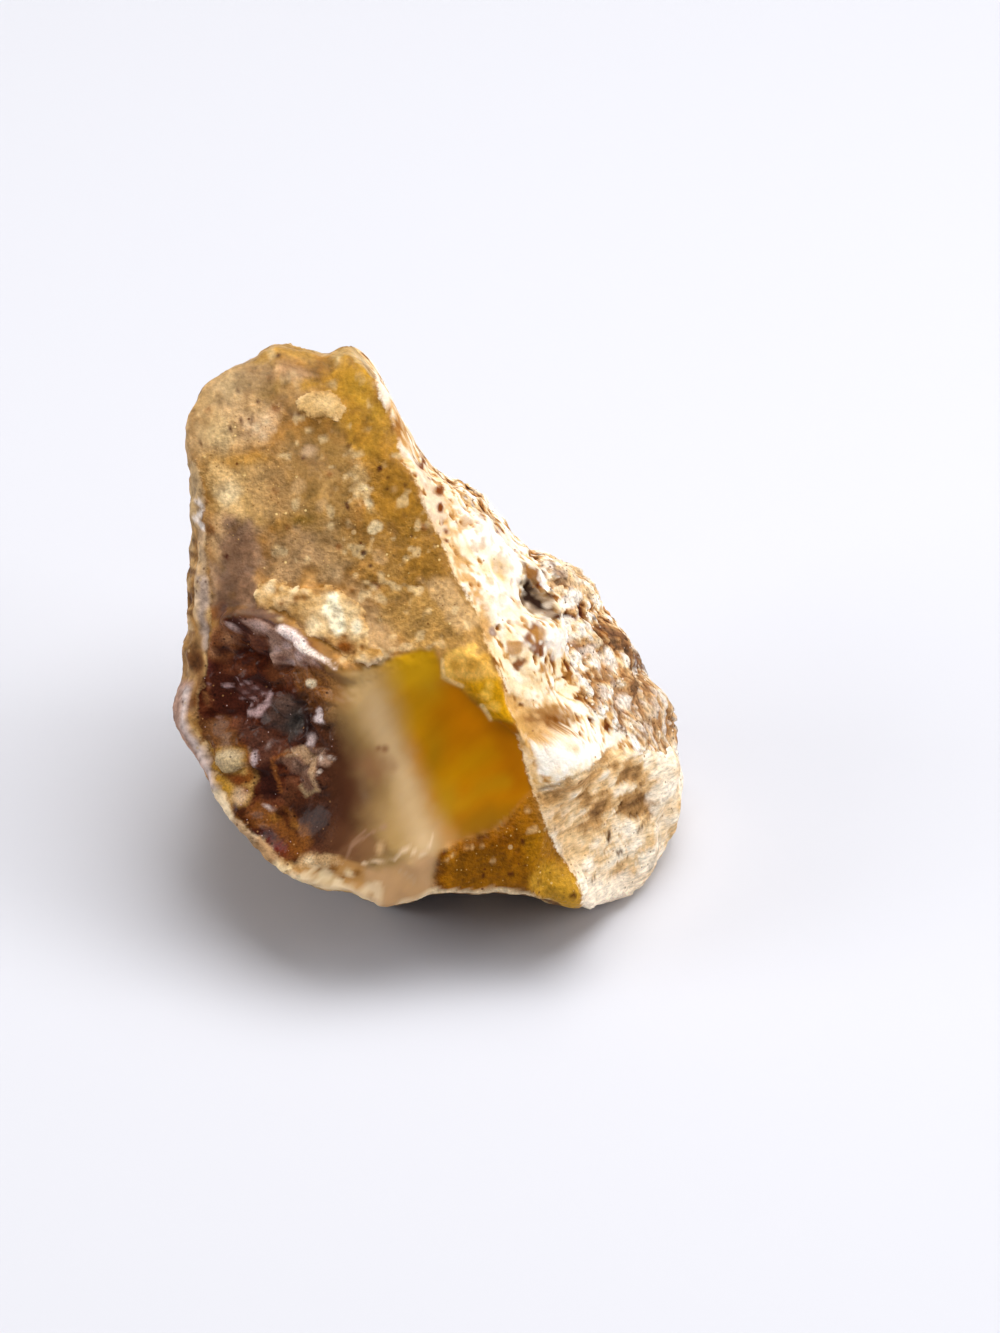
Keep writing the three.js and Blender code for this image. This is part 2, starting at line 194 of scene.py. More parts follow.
# Centre, radius and softness, mm.
KNOBS = [
    ((-13.6, 28.2, 3.0), 3.2, 0.8),
    ((-7.4, 28.0, 3.5), 3.2, 0.8),
    ((13.4, -21.5, 9.8), 2.8, 0.8),  # golden lobe at the foot
    ((-17.0, -2.2, 10.6), 3.2, 0.6),  # red block in the dark hollow
    ((13.0, -10.3, 11.4), 3.8, 1.2),  # white boss of rind beside the window
]
HOLLOWS = [
    ((3.2, -10.0, 36.0), 22.9, 1.0),  # amber window
    ((-20.1, -3.7, 23.7), 12.5, 1.0),  # dark hollow, upper bowl
    ((-16.0, -13.1, 25.5), 12.5, 3.2),  # dark hollow, lower bowl
    ((12.2, 6.5, 9.0), 3.2, 0.5),  # deep pit in the rind
    ((-10.4, 33.6, 3.5), 3.6, 0.8),  # notch between the knobs
]
print(len(FACETS), "facets,", len(KNOBS), "knobs,", len(HOLLOWS), "hollows")


# %% Reach of the bare stone
SHAKE = 0.035  # how far a way is shaken, as a share of its length, so that no facet is quite flat
SHAKE_LUMPS = 3.2  # lumps of that shake to one unit of the way


def ball_crossing(way, centre, radius):
    """Whether a ray from the seed meets a ball, where it enters and leaves: m -+ sqrt(r^2 - c^2 + m^2)."""
    centre = np.array(centre)
    middle = way @ centre
    under = middle**2 - centre @ centre + radius**2
    half = np.sqrt(np.maximum(under, 0))
    return under > 0, middle - half, middle + half


def bare_reach(way):
    """Distance from the seed to the bare stone, on a shaken way: facets, then knobs, then hollows."""
    shake = np.stack([layered(way * SHAKE_LUMPS, 2, salt) for salt in (101, 111, 121)], -1)
    way = unit(way + SHAKE * shake)
    reach = np.full(len(way), FAR)
    for faces, distance, soft in FACETS:
        slope = way @ faces
        plane = np.where(slope > 0.001, distance / np.maximum(slope, 0.001), FAR)
        reach = soft_min(reach, np.minimum(plane, FAR), soft)
    for centre, radius, soft in KNOBS:
        meets, _, leaves = ball_crossing(way, centre, radius)
        reach = np.where(meets, soft_max(reach, np.where(meets, leaves, 0), soft), reach)
    for centre, radius, soft in HOLLOWS:
        meets, enters, leaves = ball_crossing(way, centre, radius)
        meets &= leaves > 0
        reach = np.where(meets, soft_min(reach, np.where(meets, enters, FAR), soft), reach)
    return reach


print("from the seed straight out of the face, mm:", bare_reach(np.array([[0.0, 0.0, 1.0]])).round(2))

# %% [markdown]
# The outline that the stone shows square on to its broken face is uneven in a way that a few planes can't
# give. So it is drawn once, as points, and the stone is stretched across the face to reach it. The bare stone
# is stretched gently, and the finished one once more at its very edge, so each bump stands where it should.

# %% Places as drawn on the face
EYE_DISTANCE = 800.0  # mm, the distance from which the face's lines are drawn
EYE_MIDDLE = np.array([8.0, -0.65])  # the place on the face straight ahead of that eye


def on_face(p):
    """Across and up as drawn: each place is spread from the eye's middle by 1 / (1 - out / eye distance)."""
    spread = 1 / (1 - p[:, 2:] / EYE_DISTANCE)
    return EYE_MIDDLE + (p[:, :2] - EYE_MIDDLE) * spread


print("a place 20 mm out, as drawn, mm:", on_face(np.array([[20.0, 20.0, 20.0]])).round(2))


# %% Fit to the outline
OUTLINE = np.array([
    (25.9, -16.3), (26.4, -11.9), (25.8, -9), (25.6, -5.1), (24.6, -3.2), (22.8, -1.7), (22.1, 0.3),
    (20.6, 2.8), (19.8, 3.4), (19.6, 4.1), (18.7, 4.9), (18, 6.2), (17.8, 7.2), (15.8, 9.4), (14.3, 9.9),
    (12.3, 11), (11.5, 11), (10.7, 11.4), (9.2, 12.8), (8.5, 14.2), (7.1, 15.5), (6.6, 16.6), (5.2, 17.2),
    (4.7, 17.8), (2.8, 18.4), (1.2, 19.5), (-0.6, 22), (-1, 23.4), (-1.9, 24.2), (-3.7, 28.7), (-4.3, 29),
    (-5, 30.4), (-6.8, 31.5), (-7.3, 31.6), (-9.4, 30.6), (-10, 30.6), (-10.8, 31.1), (-13.5, 31.7),
    (-14.2, 31.8), (-15.3, 31.4), (-16.7, 30.1), (-18.5, 29.5), (-21.5, 27.6), (-21.9, 27.2),
    (-22.3, 25.8), (-23.4, 24.3), (-23.5, 21.3), (-23, 18.8), (-23.2, 14), (-22.7, 13.2), (-23.1, 11.8),
    (-23.1, 9.4), (-23.4, 8.1), (-23.2, 5.4), (-23.5, 4.6), (-23.1, 3.3), (-23.9, 1.2), (-23.7, -0.8),
    (-24, -2.6), (-24.4, -3.1), (-24.8, -4.9), (-24.6, -6.1), (-23.9, -7.7), (-22.3, -9.9), (-21.1, -12.2),
    (-20.7, -13.5), (-19, -16), (-16.8, -18.4), (-14.5, -20.8), (-12, -22.2), (-9.5, -23.1), (-7, -23.2),
    (-5.4, -24), (-3.6, -24.8), (-0.6, -24.2), (1, -23.5), (3, -23.3), (5.5, -23.5), (8, -23.3),
    (11, -23.7), (13, -24.3), (15, -24.8), (17, -24.9), (19, -24.4), (21, -23.7), (22.4, -22.5),
    (23.5, -20.9), (24.5, -19),
])
BEARINGS = 360


def outline_reach(bearing):
    """Each bearing's farthest crossing with the outline's edges: cross(start, edge) / cross(ray, edge)."""
    ray = np.stack([np.cos(bearing), np.sin(bearing)], -1)
    reach = np.zeros(len(bearing))
    for start, end in zip(OUTLINE, np.roll(OUTLINE, -1, axis=0)):
        edge = end - start
        turn = ray[:, 0] * edge[1] - ray[:, 1] * edge[0]
        distance = (start[0] * edge[1] - start[1] * edge[0]) / turn
        along = (start[0] * ray[:, 1] - start[1] * ray[:, 0]) / turn
        hits = (distance > 0) & (along > -1e-6) & (along < 1 + 1e-6)
        reach = np.where(hits, np.maximum(reach, distance), reach)
    return reach


def fit_to_outline(p, start, evened):
    """x and y times 1 + (c - 1) x rise(start, 1, share of the way out), c = outline / farthest, evened."""
    drawn = on_face(p)
    turn = np.mod(np.arctan2(drawn[:, 1], drawn[:, 0]) / (2 * np.pi), 1) * BEARINGS
    farthest = np.zeros(BEARINGS)
    np.maximum.at(farthest, np.floor(turn).astype(int) % BEARINGS, np.linalg.norm(drawn, axis=1))
    middles = np.arange(BEARINGS) + 0.5
    correction = np.tile(outline_reach(middles / BEARINGS * 2 * np.pi) / farthest, 3)
    correction = np.convolve(correction, np.ones(evened) / evened, "same")[BEARINGS:2 * BEARINGS]
    share = np.linalg.norm(drawn, axis=1) / np.interp(turn, middles, farthest, period=BEARINGS)
    scale = 1 + (np.interp(turn, middles, correction, period=BEARINGS) - 1) * rise(start, 1, share)
    return p * np.stack([scale, scale, np.ones_like(scale)], -1)


print("outline:", len(OUTLINE), "points,", np.ptp(OUTLINE, axis=0).round(1), "mm")

# %% [markdown]
# ## The net
#
# The stone needs a mesh of four-sided faces that closes without a pinched pole. Six square grids wrapped
# round a point, as a paper cube is blown up to a ball, do that: each grid is a function of two parameters,
# s and t, and the tangent spaces them evenly. The corners that grids share are merged by their place.

# %% Six square grids
DIVISIONS = 128  # 6 x 128 x 128 x 2 = 196,608 triangles
NET_GATHER = 0.4 * direction(0.05, 0.25, 1)  # pulls the net's corners towards the broken face


def wrap_net():
    """Ways (1, s, t) and its five turns for s, t = tan of -45 to 45 degrees, and the faces between them."""
    steps = np.tan((np.arange(DIVISIONS + 1) / DIVISIONS - 0.5) * np.pi / 2)
    s, t = np.meshgrid(steps, steps, indexing="ij")
    one = np.ones_like(s)
    sides = [(one, s, t), (-one, -s, t), (-s, one, t), (s, -one, t), (-t, s, one), (t, s, -one)]
    ways = unit(np.concatenate([np.stack(side, -1).reshape(-1, 3) for side in sides]))
    i, j = np.meshgrid(np.arange(DIVISIONS), np.arange(DIVISIONS), indexing="ij")
    row = DIVISIONS + 1
    first = (i * row + j).reshape(-1)
    square = np.stack([first, first + row, first + row + 1, first + 1], -1)
    faces = np.concatenate([square + side * row**2 for side in range(6)])
    places = np.round(ways * 1e6).astype(int)
    _, kept, merged = np.unique(places, axis=0, return_index=True, return_inverse=True)
    return unit(ways[kept] + NET_GATHER), merged.reshape(-1)[faces]


WAYS, FACES = wrap_net()
BARE = fit_to_outline(WAYS * bare_reach(WAYS)[:, None], 0.45, 13)
BARE_WAY = unit(BARE)
print("net:", len(WAYS), "corners,", 2 * len(FACES), "triangles")

# %% [markdown]
# ## Kinds of surface
#
# Each kind of surface has its own relief and colour, so every point needs to know how far inside each kind
# it lies. Lines and patches are drawn on the face as points across and up, and a signed distance, in
# millimetres and positive inside, says more than a mask: it can be roughened and softened later.

# %% Distances on the face
def from_line(q, line):
    """Distance to the nearest point of a broken line."""
    nearest = np.full(len(q), FAR)
    line = np.array(line, float)
    for start, end in zip(line, line[1:]):
        edge = end - start
        along = np.clip((q - start) @ edge / (edge @ edge), 0, 1)
        nearest = np.minimum(nearest, np.linalg.norm(q - start - along[:, None] * edge, axis=1))
    return nearest


def stroke(q, half, *line):
    """Inside distance of a line with thickness: half the thickness less the distance to the line."""
    return half - from_line(q, line)


def patch(q, *corners):
    """Inside distance of a closed patch: distance to its border, negative where a ray crosses it evenly."""
    ring = [*corners, corners[0]]
    inside = np.zeros(len(q), bool)
    for (x0, y0), (x1, y1) in zip(ring, ring[1:]):
        if y0 != y1:
            crosses = (y0 > q[:, 1]) != (y1 > q[:, 1])
            inside ^= crosses & (q[:, 0] < x0 + (q[:, 1] - y0) * (x1 - x0) / (y1 - y0))
    away = from_line(q, ring)
    return np.where(inside, away, -away)


def oval(q, x, y, across, up, turn=0):
    """Inside distance of an oval turned anticlockwise: (1 - distance in oval radii) x the shorter radius."""
    c, s = np.cos(np.radians(turn)), np.sin(np.radians(turn))
    in_radii = (q - (x, y)) @ np.array([[c, -s], [s, c]]) / (across, up)
    return (1 - np.linalg.norm(in_radii, axis=1)) * min(across, up)


print("middle of a 2 mm square:", patch(np.zeros((1, 2)), (-1, -1), (1, -1), (1, 1), (-1, 1)), "mm inside")


# %% Kinds of surface
RIND_EDGE = np.array([
    (16, -25), (16, -23), (15.4, -21), (14.5, -20.2), (13.2, -18), (12.5, -16.2), (11.9, -14.4), (11.3, -13),
    (10.4, -10), (9.9, -8), (9.3, -6), (8.5, -4.4), (8, -2), (7, 0), (6.4, 2), (6, 4), (5, 6), (3.8, 8),
    (2.8, 10), (2.2, 12), (1, 14), (0.2, 16), (-0.5, 18), (-1.9, 20), (-2.2, 22), (-3, 24), (-4, 26),
    (-4.4, 28), (-5.2, 30),
])
HOLLOW_RIM = [(-18.2, 3.8), (-17, 4.1), (-15, 3.8), (-12, 2.3), (-9.5, 0.3), (-7, -1.2)]
LOWER_RIM = [(-23.2, -3), (-22.4, -8), (-20.7, -13), (-18.9, -15.7), (-16.7, -18.2), (-14.4, -20.5),
             (-12, -21.9), (-9.5, -22.8), (-6, -23.4)]
CHIP_LEDGE = np.array([(2.5, 0.5), (5.5, -3), (7, -4.8), (10, -7.5), (11.5, -10), (13.5, -12.5)])
# The ovals of the dark hollow and of the window: middle and radii, mm; the hollow's leans to the left.
DARK_MIDDLE, DARK_RADII, DARK_LEAN = (-14.3, -8.3), (7.3, 11.5), 0.17
WINDOW_MIDDLE, WINDOW_RADII = (2.3, -9.7), (10.3, 9.3)


def kinds_of_surface(p):
    """Shares of skin, cut, dark hollow, window, back and front, each a rise across its own border."""
    x, y = p[:, 0], p[:, 1]
    way = unit(p)
    wobble = noise(p / 4, 20)
    back = rise(0.2, -0.1, way[:, 2])
    front = 1 - back
    front_skin = rise(-0.3, 1.2, x - np.interp(y, RIND_EDGE[:, 1], RIND_EDGE[:, 0]) + 0.6 * wobble)
    back_skin = rise(0.05, 0.3, way @ BARK_WAY + 0.12 * noise(p / 7, 31))
    past_cut = (p @ CUT_WAY - CUT_DISTANCE) - (p @ RIND_WAY - RIND_DISTANCE)
    above = y - DARK_MIDDLE[1]
    from_hollow = np.hypot((x - DARK_MIDDLE[0] + DARK_LEAN * above) / DARK_RADII[0], above / DARK_RADII[1])
    dark = rise(1.08, 0.92, from_hollow + 0.07 * wobble) * front
    from_window = np.hypot((x - WINDOW_MIDDLE[0]) / WINDOW_RADII[0], (y - WINDOW_MIDDLE[1]) / WINDOW_RADII[1])
    return {
        "skin": front_skin * front + back_skin * back,
        "cut": rise(-0.5, 0.5, past_cut) * front_skin * front,
        "dark": dark,
        "window": rise(1.1, 0.95, from_window) * (1 - front_skin) * front * (1 - dark),
        "back": back,
        "front": front,
    }


KIND = kinds_of_surface(BARE)
DRAWN = on_face(BARE)
print("share of the net:", {name: round(float(share.mean()), 3) for name, share in KIND.items()})

# %% [markdown]
# ## Colour by layers of stain
#
# Groundwater coloured this stone: iron made it amber, garnet and rust, clay made it cream. A painter would
# lay one stain over another, each with its own border, and the same is done here with whole arrays. A row
# names a colour, how much it covers, how soft and how ragged its border is, and its shape on the face.

# %% Stains
RAGGED = 0.55 * noise(BARE / 2.2, 211) + 0.45 * noise(BARE / 0.8, 212)
TORN = 0.6 * noise(BARE / 1.1, 215) + 0.9 * noise(BARE / 0.5, 216)
MOTTLE = layered(BARE / 1.5, 3, 213)
GRIT = layered(BARE / 0.6, 2, 214)


def linear(code):
    """sRGB hex to linear light: c / 12.92 up to 0.04045, else ((c + 0.055) / 1.055)^2.4."""
    c = np.array([int(code[i:i + 2], 16) for i in (1, 3, 5)]) / 255
    return np.where(c <= 0.04045, c / 12.92, ((c + 0.055) / 1.055) ** 2.4)


def flat(code):
    """One colour for every corner of the net."""
    return np.tile(linear(code), (len(BARE), 1))


def dots(q, *spots):
    """Inside distance of the nearest of many round spots, each given as across, up and radius."""
    return np.max([radius - np.hypot(q[:, 0] - x, q[:, 1] - y) for x, y, radius in spots], axis=0)


def blended(colour, other, share):
    """Colour + share x (other - colour), with one share for each corner."""
    return colour + share[:, None] * (other - colour)


def laid(colour, code, cover):
    """One colour laid over the rest."""
    return blended(colour, linear(code), cover)


def seen(out):
    """Share of what is drawn on the face that holds at a place: a rise with how far the place looks out."""
    return rise(-0.15, 0.08, out)


def stained(colour, rows, edge=RAGGED):
    """Lays each row's colour: share x rise(-soft, soft, inside distance + ragged x the noise of its edge)."""
    for code, share, soft, ragged, shape, *places in rows:
        inside = shape(DRAWN, *places) + ragged * edge
        colour = laid(colour, code, share * rise(-soft, soft, inside))
    return colour


def ramp(tone, *stops):
    """Colour read off between stops of (tone, hex), each channel on straight lines."""
    places = [place for place, _ in stops]
    colours = np.array([linear(code) for _, code in stops])
    return np.stack([np.interp(tone, places, colours[:, k]) for k in range(3)], -1)


def tell(name, colour):
    """Prints the mean colour over the whole net, in linear light."""
    print(name, "mean colour:", colour.mean(axis=0).round(3))


print("white rind in linear light:", linear("#fff6e6").round(3))

# %% [markdown]
# ## The heart: sugary upper facet and crust
#
# The long upper facet is chalcedony, broken fine like sugar: tan and amber, with paler crusts of clay. The
# sugar stands up by only a tenth or two of a millimetre, but the light shows it, so it is in the mesh.

# %% Upper facet
def heart_colour():
    """Tan, shifted by mottling at 2.8 mm and 1.5 mm, then stained."""
    mottle = 0.5 * noise(BARE / 2.8, 221) + 0.7 * MOTTLE
    colour = ramp(mottle, (-0.7, "#78501f"), (-0.2, "#946426"), (0.15, "#a5753a"), (0.7, "#bf935b"))
    colour = stained(colour, [
        ("#98753f", 0.7, 1.5, 1.8, patch, (-15, 22.6), (-8, 23.5), (-6, 19), (-7, 14), (-5, 8), (-9, 8),
         (-14.6, 9), (-15, 13), (-13.4, 17)),
        ("#a5835a", 0.6, 1.3, 1.8, patch, (-13, 12.6), (-8, 13), (-6.5, 8), (-9, 7.4), (-14.5, 8.6)),
        ("#946f38", 0.5, 1.0, 1.6, patch, (-14.6, 23.4), (-8.4, 23.4), (-8, 20), (-11, 17.6), (-15, 19.8)),
        ("#bb965c", 0.8, 1.0, 1.8, patch, (-21.4, 20.5), (-15.4, 20.6), (-14.6, 14.8), (-16, 13.6),
         (-19.4, 13.8), (-21, 15)),
        ("#b28a58", 0.6, 0.7, 1.6, patch, (-17.8, 19.4), (-14.4, 20), (-12.2, 15.4), (-14, 14), (-16.6, 15)),
        ("#b17d2d", 0.7, 0.5, 1.1, patch, (-21.2, 20.8), (-18, 20.4), (-15, 21.4), (-15, 19.8), (-20, 19.4)),
        ("#d6ae74", 0.85, 0.6, 1.2, patch, (-20.8, 19.2), (-18, 18.4), (-17.8, 14.6), (-20, 14.4)),
        ("#e9cc9b", 0.9, 0.5, 0.6, oval, -19.4, 16.7, 1.3, 1.0),
        ("#bd996a", 0.95, 1.2, 1.0, patch, (-26, 20.6), (-15.4, 21.2), (-14.4, 25), (-15.4, 29), (-16.4, 34),
         (-26, 30)),
        ("#c8a977", 0.7, 0.8, 0.8, oval, -20.3, 22.6, 1.8, 1.4),
        ("#c9aa7b", 0.7, 0.7, 0.8, oval, -19.2, 27.2, 1.8, 1.1, 30),
        ("#b28e5b", 0.6, 0.6, 0.8, oval, -21.6, 25.4, 1.2, 2.0),
        ("#a98250", 0.8, 1.0, 1.4, patch, (-16, 25.4), (-11, 24.6), (-9.6, 29), (-15.4, 29.4)),
        ("#9c773c", 0.7, 0.5, 0.7, oval, -14.6, 27, 1.5, 0.8, 10),
        ("#bb9169", 0.7, 0.5, 0.8, oval, -12.6, 28.6, 2.0, 0.8, 5),
        ("#8f6a3c", 0.6, 1.2, 1.6, patch, (-15.4, 23.4), (-10, 22.6), (-9.4, 18), (-15, 18)),
        ("#9a7a52", 0.7, 0.8, 1.0, patch, (-18.4, 31), (-14.6, 31), (-14.8, 27), (-18.4, 27)),
        ("#b07f30", 0.5, 1.0, 1.4, patch, (-9.6, 30), (-6, 30), (-6, 24), (-9.6, 24)),
        ("#c8a374", 0.6, 1.0, 1.4, patch, (-9, 8.6), (-6.4, 8.4), (-3.4, 5), (-1.4, 1.6), (-3, 0), (-6, 1.4),
         (-7, 6)),
        ("#c8a074", 0.85, 0.6, 0.9, patch, (-18, 24.4), (-14.4, 24.8), (-14, 22.8), (-15.6, 21.8),
         (-18, 22.4)),
        ("#d8ba92", 0.8, 0.25, 0.5, dots, (-16.4, 23.2, 0.4), (-15.4, 23.8, 0.4), (-14.6, 23, 0.35),
         (-15.8, 22.5, 0.3), (-17.4, 23.4, 0.3)),
        ("#b08643", 0.9, 0.7, 0.8, patch, (-16.4, 30), (-14.6, 32.4), (-10.6, 32), (-10.6, 29.8)),
        ("#bb9453", 0.9, 0.8, 0.8, oval, -7, 30.8, 2.2, 1.6),
        ("#b08028", 0.9, 0.7, 1.5, patch, (-11.6, 27.2), (-9.8, 29.4), (-6, 30), (-4.6, 28.6), (-4.1, 26),
         (-3.2, 24.6), (-2.3, 22), (-2, 20.6), (-5, 20), (-7.4, 22.4), (-7.4, 25), (-8.4, 27)),
        ("#b4862a", 0.8, 0.6, 1.2, dots, (-6.2, 27.6, 1.3), (-5.8, 26.2, 1.0), (-4.6, 25, 0.7)),
        ("#a46d24", 0.35, 0.6, 0.8, dots, (-9.4, 28.4, 0.9), (-7.2, 25.4, 0.8), (-5.6, 22.8, 1.0),
         (-3.6, 21.4, 0.8)),
        ("#d7bb91", 0.8, 0.4, 0.5, oval, -5.2, 30, 0.7, 0.8),
        ("#a27226", 0.9, 0.8, 1.6, patch, (-5.6, 20.2), (-2, 20.6), (-0.4, 18), (0.8, 14.6), (-1, 12.4),
         (-5.2, 14.4)),
        ("#926a2c", 0.7, 1.6, 2.0, patch, (-5.6, 14), (0.4, 14), (3.4, 9), (5.4, 4), (2, 2.6), (-3.5, 4.6),
         (-5.5, 8)),
        ("#8f6218", 0.4, 1.4, 1.8, patch, (-3.6, 20), (-0.8, 20), (3, 12), (5, 6), (2, 4), (-1, 8), (-3, 13)),
        ("#b58a4a", 0.7, 1.0, 1.5, patch, (-3.5, 6.5), (4.6, 7.4), (7.4, 0.6), (6, -0.8), (1, 1), (-3, 2)),
        ("#c8a16e", 0.7, 0.5, 1.2, patch, (0.4, 8), (3.4, 8.4), (5.2, 5), (5.8, 3.4), (3.4, 3), (1.6, 5.6)),
        ("#a67c4e", 0.8, 1.0, 1.2, patch, (-21.4, 14.4), (-19, 14.2), (-18.6, 9), (-20, 5), (-21.4, 5)),
        ("#c29b6a", 0.8, 0.4, 0.8, stroke, 0.5, (-20, 14.4), (-19.9, 11), (-19.4, 9.4)),
        ("#b28c68", 0.85, 0.4, 0.6, patch, (-21.8, 9.8), (-20.4, 9.6), (-20.4, 5.6), (-21.6, 5.6)),
        ("#876750", 0.9, 0.8, 1.2, patch, (-19.4, 14.2), (-17, 13.7), (-16, 12), (-15.2, 10), (-16.2, 8.6),
         (-16.2, 4.8), (-20, 4.6), (-19.8, 9), (-19.3, 11.4), (-19.5, 13)),
        ("#67462f", 0.5, 0.6, 1.5, patch, (-18.6, 12.6), (-17, 12.4), (-16.4, 9.6), (-17, 6), (-18.4, 5),
         (-19.4, 7)),
        ("#a07c56", 0.5, 0.8, 1.6, patch, (-16.4, 13), (-12, 13.4), (-9, 10.6), (-11, 8.2), (-16, 8.4)),
        ("#b8945f", 0.8, 0.4, 0.8, stroke, 0.4, (-6.4, 19.2), (-5.4, 18.4), (-6.2, 17.8), (-5.6, 16.6),
         (-4.9, 15.4)),
        ("#dac296", 0.8, 0.2, 0.3, dots, (-5.4, 17.1, 0.35), (-5.1, 15.6, 0.4), (-4.3, 13.4, 0.45),
         (-4.7, 12.9, 0.3)),
        ("#bf9c75", 0.85, 0.3, 0.5, oval, -11.1, 21.2, 0.9, 0.5, 20),
        ("#bb9565", 0.6, 0.3, 0.5, dots, (-12.2, 17.4, 0.6), (-4, 10.2, 0.6), (-9.6, 15.4, 0.6),
         (-2.6, 17, 0.3)),
        ("#775618", 0.8, 0.3, 0.5, oval, -11.8, 13.9, 1.1, 0.35),
        ("#774623", 0.9, 0.5, 0.4, oval, -20.2, 4.8, 0.9, 0.9),
        ("#5c4034", 0.85, 0.4, 0.7, patch, (-19.6, 5.4), (-15, 5.4), (-13.2, 4.6), (-13.4, 3.4),
         (-19.8, 3.8)),
        ("#3f1709", 0.95, 0.16, 0.12, dots, (-4, 19.1, 0.34), (-7.25, 15.4, 0.2), (-7.1, 15, 0.2),
         (-7.1, 21.5, 0.2), (-11.7, 20.3, 0.22), (-14.1, 30.1, 0.28), (-16.1, 25.7, 0.2), (-16.8, 24, 0.26),
         (-17.9, 24, 0.18), (-19, 23.1, 0.24), (-12.3, 24.5, 0.24), (-12.8, 24.3, 0.16), (-19.4, 10.4, 0.24),
         (-5.6, 10.6, 0.28), (-4.9, 9.3, 0.18), (-0.9, 12.6, 0.14), (-18.2, 27, 0.18), (-21.9, 21.6, 0.14),
         (-3.2, 18.3, 0.16), (-1.5, 17.5, 0.16), (-3.3, 17.2, 0.16)),
        ("#794a1f", 0.9, 0.25, 0.3, dots, (-4.4, 7.4, 0.5), (-6.7, 6.9, 0.35), (-15, 28, 0.25),
         (-14.4, 25.1, 0.4), (-21.2, 25, 0.2), (-20.8, 13, 0.4), (-14.6, 17, 0.3), (-8.2, 11.4, 0.3),
         (-2.6, 23.1, 0.3), (0.4, 13.4, 0.25), (-10.4, 28.6, 0.2), (-13.2, 13.2, 0.4), (-9, 18.4, 0.2)),
    ])
    salty = rise(0.22, 0.5, layered(BARE / 1.2, 2, 223)) * rise(-17, -14, DRAWN[:, 0])
    colour = laid(colour, "#d9bd8c", 0.5 * salty)
    colour = laid(colour, "#6f4a1c", 0.45 * rise(0.25, 0.5, layered(BARE / 1.3, 2, 225)))
    return colour * (1 + 0.34 * MOTTLE + 0.28 * GRIT)[:, None]


HEART = heart_colour()
tell("upper facet,", HEART)

# %% Crusts on the upper facet
CRUST_BORDER = [(-15.9, 8), (-14, 7.8), (-12.8, 7.2), (-10.6, 7.4), (-9, 7.6), (-7.6, 6.9), (-5.6, 5),
                (-4.9, 3), (-5, 1.4), (-3.6, 0.8), (-3, 0.2), (-5, -0.5), (-7.2, -0.2), (-9.2, 1.4),
                (-11.6, 3.5), (-14, 4.6), (-16, 4.9), (-16.3, 6.2)]
TOP_CRUST_BORDER = [(-12.2, 25.6), (-10.4, 26.7), (-9, 26.9), (-8, 26), (-7.6, 24.8), (-8.1, 23.9),
                    (-9.4, 23.9), (-10.2, 23.5), (-11.4, 24.1)]
CRUST_MM = np.maximum(patch(DRAWN, *CRUST_BORDER), patch(DRAWN, *TOP_CRUST_BORDER)) + 0.6 * RAGGED
LUMP_SIZE = 1.1  # mm
LUMPS = layered(BARE / LUMP_SIZE, 3, 231)


def crust_colour():
    """Clay cream over brown, by its lumps; brightest at the right, with painted highlights there, rusty at the
    foot.
    """
    tone = 0.55 + 0.95 * LUMPS
    colour = ramp(tone, (0.05, "#7a4e20"), (0.35, "#b98b50"), (0.6, "#d0a76c"), (0.9, "#e3c292"))
    return stained(colour, [
        ("#a0763f", 0.85, 0.6, 1.0, patch, (-17, 5.8), (-14.4, 6), (-11.6, 6), (-11.4, 3), (-14, 4),
         (-17, 4.4)),
        ("#5c4034", 0.85, 0.4, 0.7, patch, (-19.6, 5.2), (-15, 5.2), (-13.2, 4.4), (-13.4, 3.4),
         (-19.8, 3.8)),
        ("#7b573a", 0.85, 0.4, 0.8, patch, (-18, 5.8), (-15.4, 5.4), (-12.8, 4.4), (-11.6, 3), (-14, 3.6),
         (-18, 4)),
        ("#c2985e", 0.6, 0.6, 0.9, oval, -10.8, 5.2, 1.2, 1.0),
        ("#e7c794", 0.85, 0.6, 0.9, patch, (-9.8, 6.6), (-7.6, 6.6), (-5.6, 4), (-5, 2.2), (-6, 1.9),
         (-9.8, 2.6)),
        # Painted highlights: the near-white stroke and oval on the brightest lumps.
        ("#fdf0cc", 0.95, 0.3, 0.6, stroke, 0.7, (-8.4, 6), (-8.6, 4.6), (-7.9, 3.2)),
        ("#f9edcc", 0.8, 0.3, 0.4, oval, -6.1, 3.2, 0.5, 0.8),
        ("#f0d9ae", 0.7, 0.4, 0.6, dots, (-15, 7.2, 0.5), (-12.4, 6.9, 0.5), (-10.2, 3.4, 0.6)),
        ("#79420c", 1.0, 0.3, 0.5, oval, -7.4, 1.2, 1.2, 0.7, -15),
        ("#875319", 0.9, 0.3, 0.5, dots, (-9.2, 1.9, 0.5), (-5.6, 1.2, 0.45), (-7.5, 2.3, 0.4), (-12, 6, 0.5),
         (-11.3, 6.1, 0.3), (-13.6, 5.4, 0.4), (-8.4, 4.3, 0.25)),
        ("#ae7d38", 0.8, 0.5, 0.7, oval, -4.7, 0.9, 0.9, 0.5),
        ("#ddc09a", 0.9, 0.3, 0.3, stroke, 0.3, (-6.4, -0.7), (-4.8, -0.6), (-3.4, 0.1)),
        ("#caa368", 0.9, 0.5, 0.4, oval, -9.7, 25.2, 2.2, 1.4, 10),
        ("#ddba84", 0.7, 0.5, 0.5, oval, -9.4, 25.4, 0.9, 0.6),
        ("#684412", 0.95, 0.15, 0.12, stroke, 0.2, (-11.6, 24.2), (-10.6, 23.6), (-9.9, 23.9), (-9.4, 23.9)),
    ])


CRUST = crust_colour()
print("crust covers", int((CRUST_MM > 0).sum()), "corners")
tell("crust,", CRUST)
